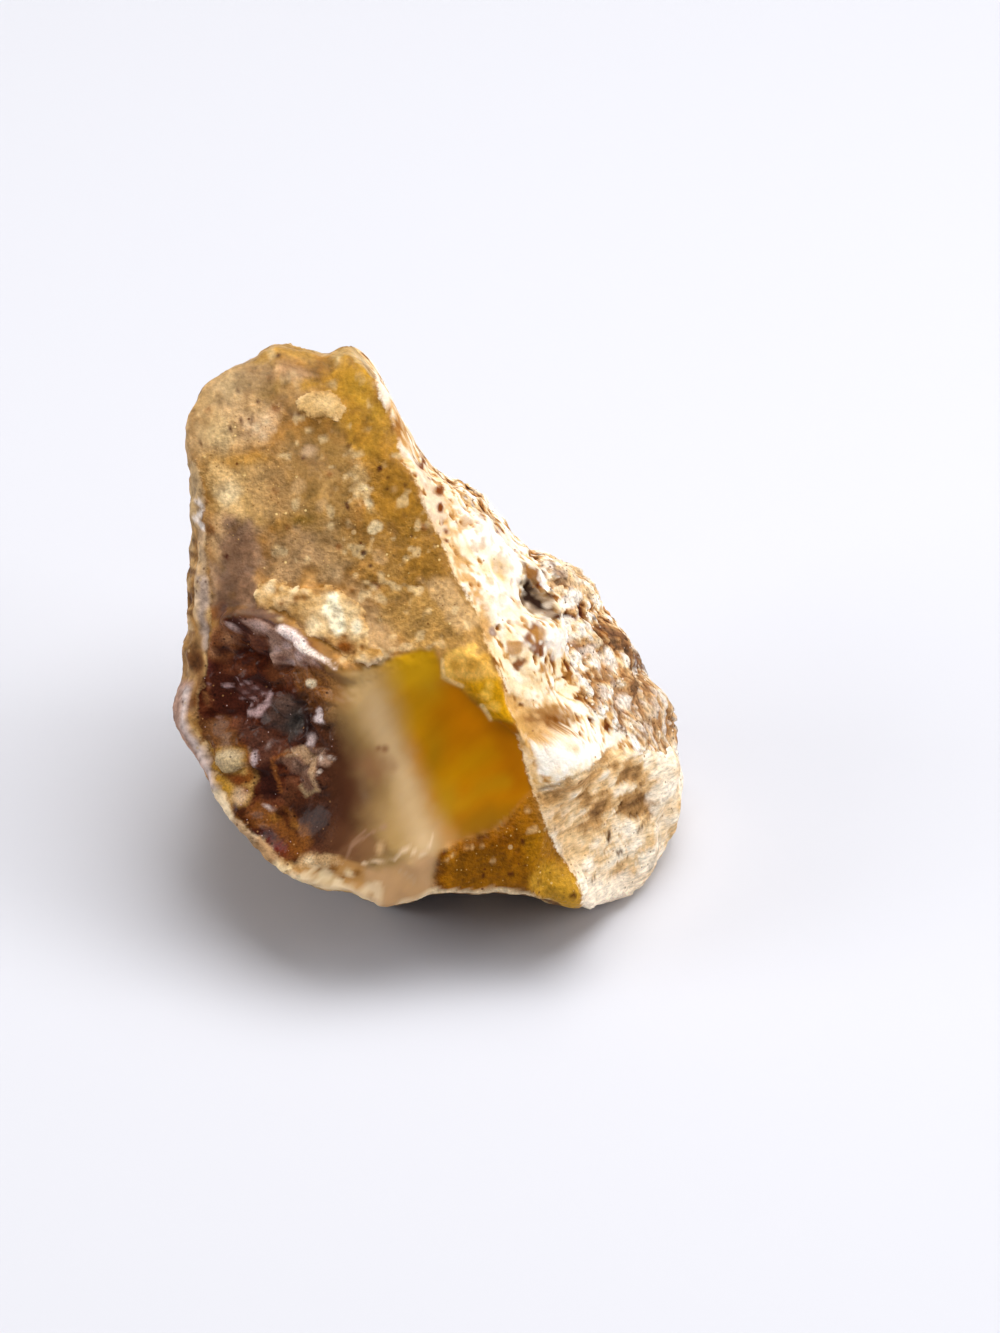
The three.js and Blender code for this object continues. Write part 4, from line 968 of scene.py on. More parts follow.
# %% Rind
def rind_surface():
    """Chalk with smears of tan, creases and pits along the grain, closer near the bark: height and colour."""
    first, _, own, _ = scattered(GRAIN_PLACE / (1.2, 0.8, 0.8), 161)
    near_bark = rise(-4.5, 0.5, BARK_MM) * rise(-9.5, -7.5, DRAWN[:, 1])
    pit = rise(0.5, 0.15, first + 0.3 * TORN) * rise(0.86 - 0.45 * near_bark, 0.96 - 0.45 * near_bark, own)
    crease = rise(0.13, 0, np.abs(layered(GRAIN_PLACE / (3.4, 1.7, 1.7), 3, 163))) * (0.25 + 0.75 * near_bark)
    fleck = rise(0.3, 0.55, layered(GRAIN_PLACE / (1.3, 0.7, 0.7), 3, 169) + 0.25 * near_bark)
    swell = layered(BARE / 1.5, 3, 165)
    smear = layered(GRAIN_PLACE / (4.5, 2.2, 2.2), 3, 167)
    heart_side = rise(4.5, 0, PAST_RIND_EDGE)
    tone = 0.9 + 0.2 * swell - 0.5 * np.maximum(smear - 0.05, 0) - 0.1 * heart_side * (1 + smear)
    tone = tone - 0.4 * crease - 0.65 * pit - 0.5 * fleck
    colour = ramp(tone, (0.05, "#683412"), (0.3, "#a56c2e"), (0.55, "#dcae70"), (0.75, "#f4dab0"),
                  (0.92, "#fff4e2"))
    colour = stained(colour, [
        ("#cf9c5a", 0.85, 0.7, 1.4, patch, (-4.6, 28), (-2.4, 25), (-0.4, 20.6), (3, 15.4), (5, 9), (6.2, 5),
         (5.4, 6), (2.4, 12), (0.4, 17), (-2, 22)),
        ("#fff2e0", 0.8, 0.4, 1.0, patch, (-4.6, 28.4), (-3, 28), (-2, 25.4), (-3, 24.8), (-3.8, 26)),
        ("#fff6ea", 0.35, 0.5, 1.0, patch, (-2, 21.6), (0, 21), (2.4, 15), (3, 12.6), (2.2, 12.8),
         (0.8, 15.6), (-0.6, 19)),
        ("#fff8ee", 0.6, 0.8, 1.2, patch, (4.4, 15.6), (6.6, 15.4), (10, 10.6), (9.6, 6), (7.6, 5.4),
         (8.6, 9), (5.4, 11.6)),
        ("#cf9c5a", 0.6, 0.6, 1.2, patch, (5.2, 7.6), (6.2, 7.6), (6.8, 4.6), (7, 1.6), (6.2, 3)),
        ("#a86f2c", 0.9, 0.3, 0.5, dots, (-2.2, 23, 0.6), (-2.6, 22.4, 0.4), (-3, 23.9, 0.3)),
        ("#74380f", 1.0, 0.2, 0.3, dots, (1.9, 16.9, 0.5), (2.3, 17.5, 0.25), (2.1, 14.9, 0.3),
         (2.7, 11.9, 0.3), (2.2, 11, 0.3), (1.2, 18.2, 0.3), (0.2, 20.1, 0.4), (3.6, 13.6, 0.2),
         (2.6, 12.8, 0.2)),
        ("#c9a77c", 0.6, 0.4, 0.8, patch, (7.2, 10.4), (8, 10.6), (8.9, 9), (8.3, 8.5), (7.3, 9.2)),
        ("#c9a070", 0.6, 0.25, 0.6, dots, (6.1, 11, 0.4), (5.2, 11.1, 0.3), (4.1, 13.4, 0.5),
         (4.8, 13.2, 0.4), (6.9, 7.8, 0.5), (7.8, 6.1, 0.4), (9.4, 5.4, 0.4)),
        ("#80603e", 0.85, 0.4, 0.6, patch, (9.9, 9.4), (11.6, 9), (12, 7.6), (13, 6.4), (13.7, 4.2),
         (12.6, 3.6), (10.6, 4.2), (10, 6)),
        ("#8a5826", 0.95, 0.4, 0.4, oval, 11, 8.6, 0.8, 0.7),
        ("#2c190e", 1.0, 0.4, 0.4, stroke, 0.6, (10.4, 7.2), (10.8, 6.3), (11.6, 5.4)),
        ("#4a2712", 1.0, 0.3, 0.4, dots, (13, 4.1, 0.45), (12.6, 4.8, 0.3), (13, 7.1, 0.45),
         (12.9, 6.6, 0.3)),
        ("#c9b6a0", 0.95, 0.2, 0.2, dots, (12.3, 5.3, 0.35), (12.8, 5.6, 0.2)),
        ("#fff6ea", 0.95, 0.3, 0.3, oval, 12.5, 8.3, 0.75, 1.0, 20),
        ("#7c4216", 0.95, 0.3, 0.6, dots, (10.3, 2.9, 0.5), (9.8, 2.1, 0.4), (11, 1, 0.65), (9.5, -0.4, 0.45),
         (14.7, -0.3, 0.4), (7.5, 3, 0.3)),
        ("#b07a38", 0.85, 0.35, 0.7, dots, (11.8, -0.8, 0.5), (8.8, 1, 0.5), (10.6, 2.4, 0.5),
         (12.9, -2.8, 0.4), (9.6, 3.2, 0.4)),
        ("#fff4e6", 0.9, 0.5, 0.6, patch, (12, 3), (14.6, 3), (15.4, 0.6), (13, 0.4), (11.8, 1.6)),
        ("#fff4e6", 0.4, 0.5, 0.6, patch, (6.4, 5.8), (8.8, 5.8), (9.2, 3.6), (7.4, 3)),
        ("#d2a05c", 0.9, 0.8, 1.0, patch, (8.6, -3.6), (12, -4.2), (15, -5), (14.8, -7.2), (12.8, -8.4),
         (10.8, -8.8), (9.6, -6)),
        ("#b98848", 0.7, 0.6, 0.8, dots, (11.2, -6.8, 0.8), (12, -7.6, 0.6), (14.4, -6.4, 0.5),
         (12.4, -5, 0.6)),
        ("#7a4712", 1.0, 0.7, 0.5, oval, 13.2, -5.8, 1.5, 0.9, -10),
        ("#8d5c2c", 0.85, 0.25, 0.2, stroke, 0.22, (9.4, -6), (10.8, -6.1), (12.4, -5.9)),
        ("#a37440", 0.8, 0.3, 0.2, stroke, 0.25, (11.8, -4.9), (13, -5.2), (14.8, -4.9)),
        ("#d5a45c", 0.7, 0.8, 0.6, patch, (9.2, -4.4), (9.8, -5), (11, -8), (12, -11), (12.4, -13),
         (11.2, -13), (9.8, -8), (8.6, -4.4)),
        ("#fff8ec", 0.85, 0.5, 0.8, patch, (11.2, -8.6), (14, -8.6), (17.6, -7.6), (18, -8.8), (16, -10),
         (13.4, -11.2), (12.2, -11.6)),
        ("#cfa468", 0.7, 0.3, 0.3, dots, (15.2, -8.7, 0.4), (14.6, -8.6, 0.3), (11, -9.9, 0.3)),
        ("#8a6a4c", 0.85, 0.2, 0.2, stroke, 0.14, (4.6, 17.2), (6.4, 15.7), (8.2, 13.6), (9.4, 12.2)),
        ("#f3e0c4", 0.9, 0.5, 0.5, patch, (22.6, -9.4), (27, -9), (27.4, -16), (24, -24), (22.4, -22.6),
         (24.4, -17)),
        ("#c4ac8e", 0.8, 0.25, 0.3, stroke, 0.2, (26, -10.4), (26.4, -13), (25.9, -16.4), (24.6, -19)),
    ], TORN)
    return 0.22 * swell - 0.35 * pit - 0.3 * crease - 0.1 * fleck, colour


RIND_HEIGHT, RIND_COLOUR = rind_surface()
tell("rind,", RIND_COLOUR)

# %% Bark
CRUMB_SIZE = (1.5, 0.9, 0.9)  # along the grain, out of the bark and round the trunk, mm


def bark_surface():
    """Broad knots, grooves and pits, then crumbs, with painted shade in their gaps, holes and pits: height and
    colour.
    """
    groove = rise(0.3, 0, np.abs(noise(GRAIN_PLACE / (12, 4.5, 4.5), 10)))
    deep, _, deep_own, _ = scattered(GRAIN_PLACE / (6.5, 4.5, 4.5), 11)
    pit = rise(0.25 + 0.25 * deep_own, 0.05, deep) * rise(0.3, 0.5, deep_own)
    from_knob = scattered(GRAIN_PLACE / (1.7, 1.2, 1.2), 172)[0]
    knob = rise(0.75, 0.15, from_knob + 0.25 * TORN)
    crumbs = 0.6 * layered(GRAIN_PLACE / CRUMB_SIZE, 3, 171) + 0.5 * (knob - 0.45)
    gap = rise(0.2, 0, np.abs(layered(GRAIN_PLACE / (3.6, 1.5, 1.5), 3, 174)))
    small, _, small_own, _ = scattered(GRAIN_PLACE / (1.2, 0.7, 0.7), 176)
    hole = rise(0.45, 0.15, small + 0.15 * RAGGED) * rise(0.6, 0.75, small_own)
    swell = layered(BARE / 2.6, 2, 178)
    height = LOG_SWELL - 0.7 * groove - 1.5 * pit
    height = height + 0.5 * crumbs - 0.35 * gap - 0.3 * hole
    outward = rise(0, 7, BARK_MM)
    bits = noise(GRAIN_PLACE / (0.7, 0.45, 0.45), 180)
    tone = 0.86 + 0.95 * crumbs + 0.35 * bits + 0.3 * swell
    # Gaps, holes and pits are darker as well as lower: painted shade.
    tone = tone - 0.35 * gap - 0.5 * hole - 0.15 * pit - 0.2 * outward
    colour = ramp(tone, (0, "#30130a"), (0.2, "#6a3714"), (0.4, "#a86f38"), (0.58, "#d8aa72"),
                  (0.75, "#f2d8ae"), (0.95, "#fff6ea"))
    colour = stained(colour, [
        ("#fff4e6", 0.85, 0.4, 0.7, dots, (15, 6, 0.9), (14.6, 4, 0.8), (16.6, 1, 0.5), (15, 2.4, 0.5),
         (18.3, -3.4, 0.5), (18.6, -5.4, 0.5), (17.6, 0.2, 0.4), (21, -4.6, 0.5), (19.2, -0.6, 0.4)),
        ("#8e6038", 0.45, 0.4, 0.9, patch, (15.6, -0.8), (17.4, -1), (17.6, -3), (18, -5.6), (17, -5.4),
         (16.2, -3)),
        ("#8d6038", 0.8, 0.4, 0.8, patch, (18.2, -1.4), (19.6, -2), (20.4, -4.6), (20.8, -7.2), (19.4, -6.8),
         (18.8, -4)),
        ("#6b3f22", 0.9, 0.2, 0.3, stroke, 0.2, (12.9, 9.6), (13.7, 8.4), (14.6, 7.4)),
        ("#4a1d12", 0.92, 0.25, 0.5, dots, (16.2, 5.2, 0.42), (16.6, 4.7, 0.34), (18.2, 3.2, 0.36),
         (18.9, 2.7, 0.32), (19.6, 2.3, 0.2), (20.6, 1.5, 0.25), (17.8, 4.4, 0.25), (14.9, -0.3, 0.4),
         (17.9, 1.6, 0.4), (21.8, -2, 0.3)),
        ("#48160f", 0.95, 0.25, 0.4, stroke, 0.36, (21.3, 0.6), (21.9, -0.2), (22.3, -1)),
        ("#43201a", 0.92, 0.3, 0.4, dots, (22.8, -6.6, 0.55), (23.5, -7.1, 0.5), (23.9, -6.5, 0.3),
         (22.6, -7.3, 0.4)),
        ("#d3b6a4", 0.95, 0.12, 0.1, dots, (23.3, -6.8, 0.25), (23.6, -6.6, 0.16)),
        ("#a87c50", 0.35, 1.0, 1.6, patch, (15.2, 4), (17.4, 4), (18.8, 0), (18, -3), (16, -3), (15.4, 0)),
        ("#a87c50", 0.4, 1.0, 1.6, patch, (22, -2), (26, -3), (26.4, -9), (22, -9)),
        ("#b88f66", 0.3, 1.5, 1.2, patch, (19, 4), (23, -1), (25.6, -5), (25.4, -9.6), (21, -8), (19, -4)),
        ("#dcb98c", 0.7, 0.9, 1.0, patch, (13, 10.4), (16, 9.4), (18, 6), (16.4, 6.2), (14.6, 8)),
        ("#b5a08c", 0.9, 0.3, 0.2, stroke, 0.4, (25.9, -10), (26.3, -14), (25.6, -18)),
    ], TORN)
    return height, colour


BARK_HEIGHT, BARK_COLOUR = bark_surface()
print("bark crumbs", CRUMB_SIZE, "mm")
tell("bark,", BARK_COLOUR)

# %% Torn fibres
# Size of a coarse tuft and of a fine one, along the fibre, across it and out of the cut, mm.
COARSE_TUFT, FINE_TUFT = (4.2, 1.3, 1.3), (2.2, 0.45, 0.45)


def cut_surface():
    """Coarse and fine tufts along the fibre, patches of taupe and small pits: height and colour."""
    place = BARE @ np.stack([FIBRE, ACROSS_FIBRE, CUT_WAY]).T + 0.3 * WANDER
    coarse = layered(place / COARSE_TUFT, 3, 71)
    fine = noise(place / FINE_TUFT, 72)
    torn = 0.8 * noise(place / (2.2, 0.55, 0.55), 73) + 0.6 * RAGGED
    mottle = layered(place / (1.8, 0.9, 0.9), 3, 181)
    first, _, own, _ = scattered(place / (1.0, 0.7, 0.7), 183)
    pit = rise(0.42, 0.15, first + 0.1 * RAGGED) * rise(0.6, 0.8, own)
    taupe = np.zeros(len(BARE))
    for share, soft, ragged, *corners in [
        (0.6, 0.6, 1.3, (11.8, -13.6), (14, -11.8), (16, -10.9), (18, -9.9), (20, -10), (20, -10.9),
         (18.6, -12), (16.8, -13.2), (14.4, -13.8), (13.4, -15)),
        (1.0, 0.4, 0.8, (20, -11.2), (21.2, -10.1), (22.8, -10.2), (22.8, -11.2), (21.8, -12.2),
         (19.8, -12.5)),
        (1.0, 0.5, 0.9, (20, -13.6), (21.6, -13), (23, -14.2), (22.4, -15), (22, -16.2), (20.6, -16.2),
         (19.4, -15.4)),
        (0.75, 0.6, 1.3, (15.9, -14.8), (16.4, -13.2), (18, -12.6), (19.6, -13.8), (19.6, -14.8),
         (18, -15.8)),
        (0.5, 0.6, 1.3, (14.4, -16.2), (18, -15.4), (18.4, -16.8), (16.8, -17.6)),
        (0.2, 0.6, 1.8, (16.8, -19), (19.6, -17.6), (22, -18), (22, -20.5), (20.6, -23), (17.8, -23.4)),
    ]:
        inside = patch(DRAWN, *corners) + ragged * torn
        taupe = taupe + share * rise(-soft, soft, inside) * (1 - taupe)
    worn = rise(-19, -15, DRAWN[:, 1]) * rise(25, 22, DRAWN[:, 0])
    tone = 0.86 + 0.2 * coarse + 0.16 * fine * (0.4 + taupe) + 0.34 * mottle
    tone = tone - 0.46 * taupe - (0.2 + 0.4 * taupe) * pit - 0.12 * worn
    colour = ramp(tone, (0, "#553212"), (0.25, "#8c6438"), (0.5, "#c0925a"), (0.72, "#e4c08e"),
                  (0.95, "#fff0d8"))
    colour = blended(colour, stained(colour, [
        ("#f6e8d2", 0.85, 0.5, 1.2, patch, (22.8, -9), (28, -9), (28, -18), (23.4, -24), (22.2, -21),
         (23.4, -17), (23.4, -13)),
        ("#a8947e", 0.8, 0.2, 0.2, stroke, 0.18, (26, -11.6), (26.1, -14), (25.6, -16.6), (25, -18.4)),
        ("#fbe9d0", 0.9, 0.6, 1.0, patch, (16.2, -21), (17, -22.6), (20, -22), (24, -20.4), (25, -22),
         (22, -27), (16, -27)),
        ("#e4c08c", 0.7, 0.8, 0.8, patch, (14.6, -15.2), (15.4, -15.6), (16, -18.6), (16.4, -21), (15, -20.4),
         (13.6, -18)),
        ("#c2955c", 0.5, 0.7, 0.8, patch, (11.2, -12.8), (14.6, -13), (15, -15.6), (14.6, -18.4), (14, -19.4),
         (12.2, -15.6)),
        ("#5f3f20", 0.95, 0.25, 0.3, stroke, 0.3, (24.3, -17.8), (23.7, -19.2), (22.9, -20.7)),
        ("#543212", 0.95, 0.12, 0.12, stroke, 0.14, (21.1, -16.9), (21.9, -16.1)),
        ("#543212", 0.95, 0.12, 0.12, stroke, 0.13, (18.6, -17.8), (18.9, -16.9)),
        ("#543212", 0.9, 0.1, 0.2, dots, (13.4, -16.9, 0.15), (19.8, -19.1, 0.15), (24.5, -13.8, 0.12),
         (20.6, -19.6, 0.14), (17.3, -21.8, 0.15), (22, -12.6, 0.14)),
        ("#8a6844", 0.8, 0.12, 0.12, stroke, 0.14, (22.2, -16), (22.8, -15.4), (23, -15.2)),
        ("#a17d58", 0.7, 0.12, 0.12, stroke, 0.14, (22.8, -14.2), (24.6, -13.7)),
        ("#8d6c48", 0.8, 0.2, 0.2, stroke, 0.2, (12, -13), (14, -11.6), (16.4, -10.8), (18.2, -9.5),
         (19.4, -8.4)),
    ], torn), seen(BARE_WAY[:, 2]))
    return 0.35 * coarse + 0.4 * BROAD + 0.1 * fine + 0.1 * mottle - 0.3 * pit - 0.1 * taupe, colour


CUT_HEIGHT, CUT_COLOUR = cut_surface()
tell("torn cut,", CUT_COLOUR)

# %% Where the cut lies
CUT_BORDER = [(10.6, -14), (11.8, -12.8), (14, -11.4), (16, -10.8), (17.4, -10), (18.4, -9.3), (19.6, -8.7),
              (21, -9.4), (23, -9.7), (25.4, -9.4), (31, -9.4), (31, -29), (10, -29)]
# How much a corner lies where the cut runs on round the right edge and carries no bark.
CLEAN_EDGE = rise(-8.8, -10.4, DRAWN[:, 1] + RAGGED) * rise(16, 20, DRAWN[:, 0])
CLEAN_EDGE = CLEAN_EDGE * rise(-0.55, -0.25, BARE_WAY[:, 2])
print("corners of the clean edge:", int((CLEAN_EDGE > 0.5).sum()))

# %% [markdown]
# ## Rough matrix on the back, the left and the underside
#
# The other sides are where the piece came away from the log: olive-brown clay and iron stain on rough opal.
# The way each part of the bare stone looks tells which sides these are, so the normals are worked out first,
# from the cross product of each face's diagonals, added up at the face's corners.

# %% Which way the stone looks
def normals_of(points):
    """Unit sum, at each corner, of the cross products of the diagonals of the faces round it."""
    a, b, c, d = points[FACES].transpose(1, 0, 2)
    across = np.cross(c - a, d - b)
    total = [np.bincount(FACES.ravel(), np.repeat(across[:, axis], 4), len(points)) for axis in range(3)]
    return unit(np.stack(total, -1))


LOOKS = normals_of(BARE)
LOOKS_DOWN = -(LOOKS @ FACE)[:, 2]
# Matrix begins where the stone looks down by more than 0.42 or out of the face by less than 0.12, as
# cosines; five millimetres to a whole cosine make each of them a distance inside.
UNDER_MM = 5 * (LOOKS_DOWN - 0.42) + 0.5 * RAGGED
SIDE_MM = 5 * (0.12 - LOOKS[:, 2]) + 0.5 * RAGGED
MATRIX_MM = np.maximum(UNDER_MM, SIDE_MM)
ROPES_BORDER = [(-26, 20), (-22.4, 20), (-21.6, 16), (-21.2, 10), (-20.9, 3), (-21.6, -0.6), (-22.4, -3.4),
                (-22.2, -7), (-20.9, -10.6), (-19.8, -13.4), (-18.4, -15.9), (-16, -18.4), (-13, -20.8),
                (-15, -23), (-28, -10)]
ROPES_MM = np.minimum(patch(DRAWN, *ROPES_BORDER), 8 * (LOOKS[:, 2] + 0.2) + RAGGED)
ROPES = noise(BARE / (1.0, 1.5, 1.0), 195)
print("corners that look into the stone:", int(((LOOKS * BARE).sum(axis=1) < -5).sum()))
print("corners of the underside:", int((UNDER_MM > 0).sum()))


# %% Matrix
ROUGH = layered(BARE / 3.5, 3, 81)


def matrix_surface():
    """Fracture steps along the grain and roughness at 3.5, 1.4 and 0.7 mm: height and colour."""
    grit = layered(BARE / 1.4, 3, 185)
    shelf = 2.2 * noise(GRAIN_PLACE / (26, 8, 8), 12)
    ledge = np.floor(shelf) + rise(0.25, 0.75, shelf - np.floor(shelf))
    first, second, own, _ = scattered((BARE + 1.2 * WANDER) / (3.4, 2.2, 2.8), 187)
    crack = rise(0.1, 0.01, second - first)
    tone = 0.5 + 0.3 * ROUGH + 0.5 * grit + 0.25 * noise(BARE / 0.7, 235) + 0.12 * (own - 0.5) - 0.14 * crack
    colour = ramp(tone, (0.1, "#3c1c0c"), (0.3, "#6b4423"), (0.5, "#94703f"), (0.7, "#b4925f"),
                  (0.9, "#d8bd92"))
    iron = rise(0.1, 0.5, layered(BARE / 6, 2, 191))
    clay = rise(0.05, 0.4, layered(BARE / 7, 2, 193))
    colour = laid(colour, "#5a2a12", 0.55 * iron * (1 - KIND["back"] * 0.4))
    colour = laid(colour, "#bb9a6c", 0.5 * clay)
    shape = KIND["back"] * (0.7 * ROUGH + 0.5 * BROAD + ledge)
    return shape + 0.3 * grit + 0.3 * (0.5 - first) - 0.1 * crack, colour


def side_stains(colour):
    """Ropey strip on the left; its pale line and the mauve sliver below it, with a painted highlight streak,
    where the face shows them.
    """
    ropes = 0.5 + 0.5 * ROPES
    rope_colour = ramp(ropes, (0.15, "#6e4a28"), (0.4, "#a3763f"), (0.65, "#bf9763"), (0.9, "#d2b28a"))
    colour = blended(colour, rope_colour, rise(-0.3, 0.3, ROPES_MM + 0.2 * RAGGED))
    return blended(colour, stained(colour, [
        ("#c0a074", 0.9, 0.6, 0.4, patch, (-26, 13.6), (-22.2, 13.6), (-21.9, 19), (-22.4, 27), (-26, 27)),
        ("#6e4a28", 0.85, 0.14, 0.3, dots, (-23.1, 10.6, 0.3), (-22.7, 8.8, 0.3), (-23.2, 6.6, 0.3),
         (-22.9, 4.7, 0.35), (-22.6, 11.9, 0.25), (-22.6, 7.2, 0.2), (-23, 2.6, 0.2)),
        ("#bda68c", 0.5, 0.2, 0.4, stroke, 0.2, (-22, 16), (-21.7, 10), (-21.6, 7.6)),
        ("#b39c8c", 0.9, 0.3, 0.3, patch, (-22.1, 8.2), (-21.5, 8.4), (-21.2, 4), (-21.3, 0.8), (-22, 1),
         (-22.1, 4)),
        ("#eadfd8", 0.8, 0.14, 0.3, stroke, 0.16, (-22.4, 16), (-21.6, 15), (-22.2, 14), (-21.6, 13.2)),
        ("#a37a4a", 0.9, 0.3, 0.4, patch, (-25, 2.6), (-22, 2.4), (-21.7, -0.2), (-22.6, -2.4), (-25, -2.2)),
        ("#5e3416", 0.9, 0.3, 0.4, oval, -22.6, -0.2, 0.8, 1.6),
        ("#a58271", 0.97, 0.3, 0.15, patch, (-26, -1.8), (-23, -2.2), (-22.9, -5), (-22.6, -8), (-21.3, -11),
         (-20.4, -13.4), (-22, -14), (-27, -6)),
        # Painted highlight: the pale streak along the mauve sliver.
        ("#cdbab2", 0.9, 0.3, 0.2, stroke, 0.34, (-23.5, -3), (-23.1, -6), (-22.4, -8.6), (-21.2, -11.6),
         (-20.6, -13)),
        ("#6a3c18", 0.9, 0.3, 0.3, stroke, 0.45, (-22.4, -1.6), (-22.6, -4.4)),
        ("#e2cba8", 0.9, 0.3, 0.3, stroke, 0.5, (-20.6, -13.4), (-19, -15.7), (-17, -18)),
        ("#ad8660", 0.8, 0.3, 0.3, stroke, 0.5, (-18.4, -16.2), (-16.4, -18.6), (-14.4, -20.2)),
        ("#e8cda0", 0.9, 0.3, 0.3, stroke, 0.5, (-14.4, -20.7), (-11.4, -22.1), (-8.6, -22.9)),
    ]), seen(LOOKS[:, 2]))


MATRIX_HEIGHT, MATRIX_COLOUR = matrix_surface()
MATRIX_COLOUR = side_stains(MATRIX_COLOUR)
tell("matrix,", MATRIX_COLOUR)

# %% [markdown]
# ## The finished surface
#
# Every kind's height is weighted by its share and added along the way from the seed. The raised lines of the
# broken face, such as the lip of the hollow and the chip over the window, come last.

# %% Relief
BEAD, BEAD_RADIUS = (-19.1, -10.1), 1.35  # the glassy bead in the hollow's yellow patch, mm
CALM_LINE = [(-11.4, -14), (-10, -16)]  # where the hollow runs smoothly into the milk
RIPPLE_MIDDLE = (9, -18)  # the shell-like ripples of the window spread from here
WORN_EDGE = 0.08  # of the reach, over which the edge of the foot is rounded


def face_lines():
    """Lip, lower edge and chip: each a rise with the distance to its line."""
    x, y = BARE[:, 0], BARE[:, 1]
    lip = rise(1.5, 0.2, from_line(BARE[:, :2], HOLLOW_RIM))
    lower_edge = rise(1.6, 0.3, from_line(BARE[:, :2], LOWER_RIM))
    above = y - np.interp(x, CHIP_LEDGE[:, 0], CHIP_LEDGE[:, 1])
    chip = rise(-0.2, 0.3, above + 0.3 * noise(BARE / 2.6, 91)) * rise(3, 6, x) * rise(2.5, -0.5, y)
    return 0.9 * lip + 0.5 * lower_edge + 0.9 * chip


def total_relief(rind, bark, cut, matrix):
    """Share x height, summed over the kinds of surface."""
    heart = (1 - KIND["skin"]) * KIND["front"]
    plain = heart * (1 - KIND["window"]) * (1 - KIND["dark"])
    skin = KIND["skin"] * (1 - KIND["cut"])
    barky = rise(-1.2, 0.6, BARK_MM) * KIND["front"] + KIND["back"] * (1 - CLEAN_EDGE)
    sugar = 0.09 * GRIT + 0.16 * MOTTLE
    lump, second, own, _ = scattered(BARE / 3.6, 61)
    block = (0.5 - lump) * 1.3 + 1.6 * (own - 0.5) * rise(0, 0.25, second - lump)
    bead = np.sqrt(np.clip(1 - (np.linalg.norm(DRAWN - BEAD, axis=1) / BEAD_RADIUS) ** 2, 0, 1))
    ripple = 0.03 * np.sin(np.linalg.norm(DRAWN - RIPPLE_MIDDLE, axis=1) * 2.2 + BROAD * 3)
    height = skin * (barky * bark + (1 - barky) * (LOG_SWELL + rind))
    height = height + KIND["cut"] * cut
    height = height + plain * (0.2 * noise(BARE / 2.6, 91) + 0.4 * ROUGH + sugar)
    calm = 0.2 + 0.8 * rise(0.8, 3, from_line(DRAWN, CALM_LINE))
    glassy = calm * heart * KIND["dark"] * (0.4 + 0.6 * rise(-17, -13, DRAWN[:, 1]))
    glassy = glassy * (0.8 * block + 0.8 * BLOCKS + 0.2 * CHIPS) * rise(-7.5, -10.5, DRAWN[:, 0])
    height = height + glassy
    height = height + heart * rise(-0.4, 0.5, CRUST_MM) * (0.45 + 0.45 * LUMPS)
    height = height + heart * (face_lines() + KIND["window"] * ripple + 0.7 * bead)
    rough = rise(-0.5, 0.8, MATRIX_MM) * (1 - KIND["skin"])
    return height + rough * matrix + 0.25 * rise(-0.4, 0.4, ROPES_MM) * ROPES


def stand_upright(p):
    """From the face frame to the shared one, cut off flat at the resting surface with a worn edge, in mm."""
    upright = p @ FACE
    share = SEED[2] / np.maximum(-upright[:, 2], 0.1)
    return upright * soft_min(1.0, share, WORN_EDGE)[:, None] + SEED


HEIGHT = total_relief(RIND_HEIGHT, BARK_HEIGHT, CUT_HEIGHT, MATRIX_HEIGHT)
POINTS = stand_upright(fit_to_outline(BARE + BARE_WAY * HEIGHT[:, None], 0.8, 3))
print("relief from", HEIGHT.min().round(2), "to", HEIGHT.max().round(2), "mm")
print("stone, mm:", POINTS.min(axis=0).round(2), POINTS.max(axis=0).round(2))

# %% [markdown]
# ## The mesh
#
# foreach_set hands whole arrays to the mesh, which is far faster than adding points one by one. The object
# stays at the origin and its place is in its points, as an imported node's is, so that the patterns below,
# which read Object coordinates, fall where the places above were worked out.

# %% Make the stone
def make_mesh(name, points, faces):
    """A mesh of four-sided faces from arrays, smooth, in metres."""
    mesh = bpy.data.meshes.new(name)
    mesh.vertices.add(len(points))
    mesh.vertices.foreach_set("co", (points * MM).astype(np.float32).ravel())
    mesh.loops.add(faces.size)
    mesh.loops.foreach_set("vertex_index", faces.astype(np.int32).ravel())
    mesh.polygons.add(len(faces))
    mesh.polygons.foreach_set("loop_start", np.arange(0, faces.size, 4, dtype=np.int32))
    mesh.update(calc_edges=True)
    mesh.polygons.foreach_set("use_smooth", np.ones(len(faces), bool))
    made = bpy.data.objects.new(name, mesh)
    bpy.context.scene.collection.objects.link(made)
    return made


stone = make_mesh("opal_stone", POINTS, FACES)
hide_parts("opalized_wood")
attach(stone, "root")
print("stone:", len(stone.data.vertices), "points,", 2 * len(stone.data.polygons), "triangles")

# %% [markdown]
# ## Colours and distances on the mesh
#
# The stain layers and the inside distances are stored at the mesh's points as named attributes. The material
# reads them by name, roughens each border with its own fine noise and adds what is finer than the mesh.

# %% Borders on the back
# Hollow and window end at the face. On the back the skin ends at a cosine from the bark's way, and the
# clean edge takes bark away and lets the cut in.
OFF = -9.0  # mm, so far outside that none of it shows
COSINE_MM = 20.0  # mm on the back for a whole cosine, about the stone's radius
SKIN_COSINE = 0.17  # of the angle from the bark's way, where the skin ends on the back
# Keeps matrix off the white corner of the cut at the lower right of the front, mm.
FOOT_CORNER = 12 * rise(-17, -19, DRAWN[:, 1]) * rise(14, 16, DRAWN[:, 0]) * KIND["front"]
BACK_SKIN_MM = COSINE_MM * (BARE_WAY @ BARK_WAY - SKIN_COSINE) + 5 * layered(BARE / 6, 4, 233)
BACK_SKIN_MM = BACK_SKIN_MM + 9 * CLEAN_EDGE


def front_or_back(front, back):
    """Share of the front x its value, plus share of the back x its own."""
    return KIND["front"] * front + KIND["back"] * back


print("corners of skin on the back:", int(((BACK_SKIN_MM > 0) & (KIND["back"] > 0.5)).sum()))

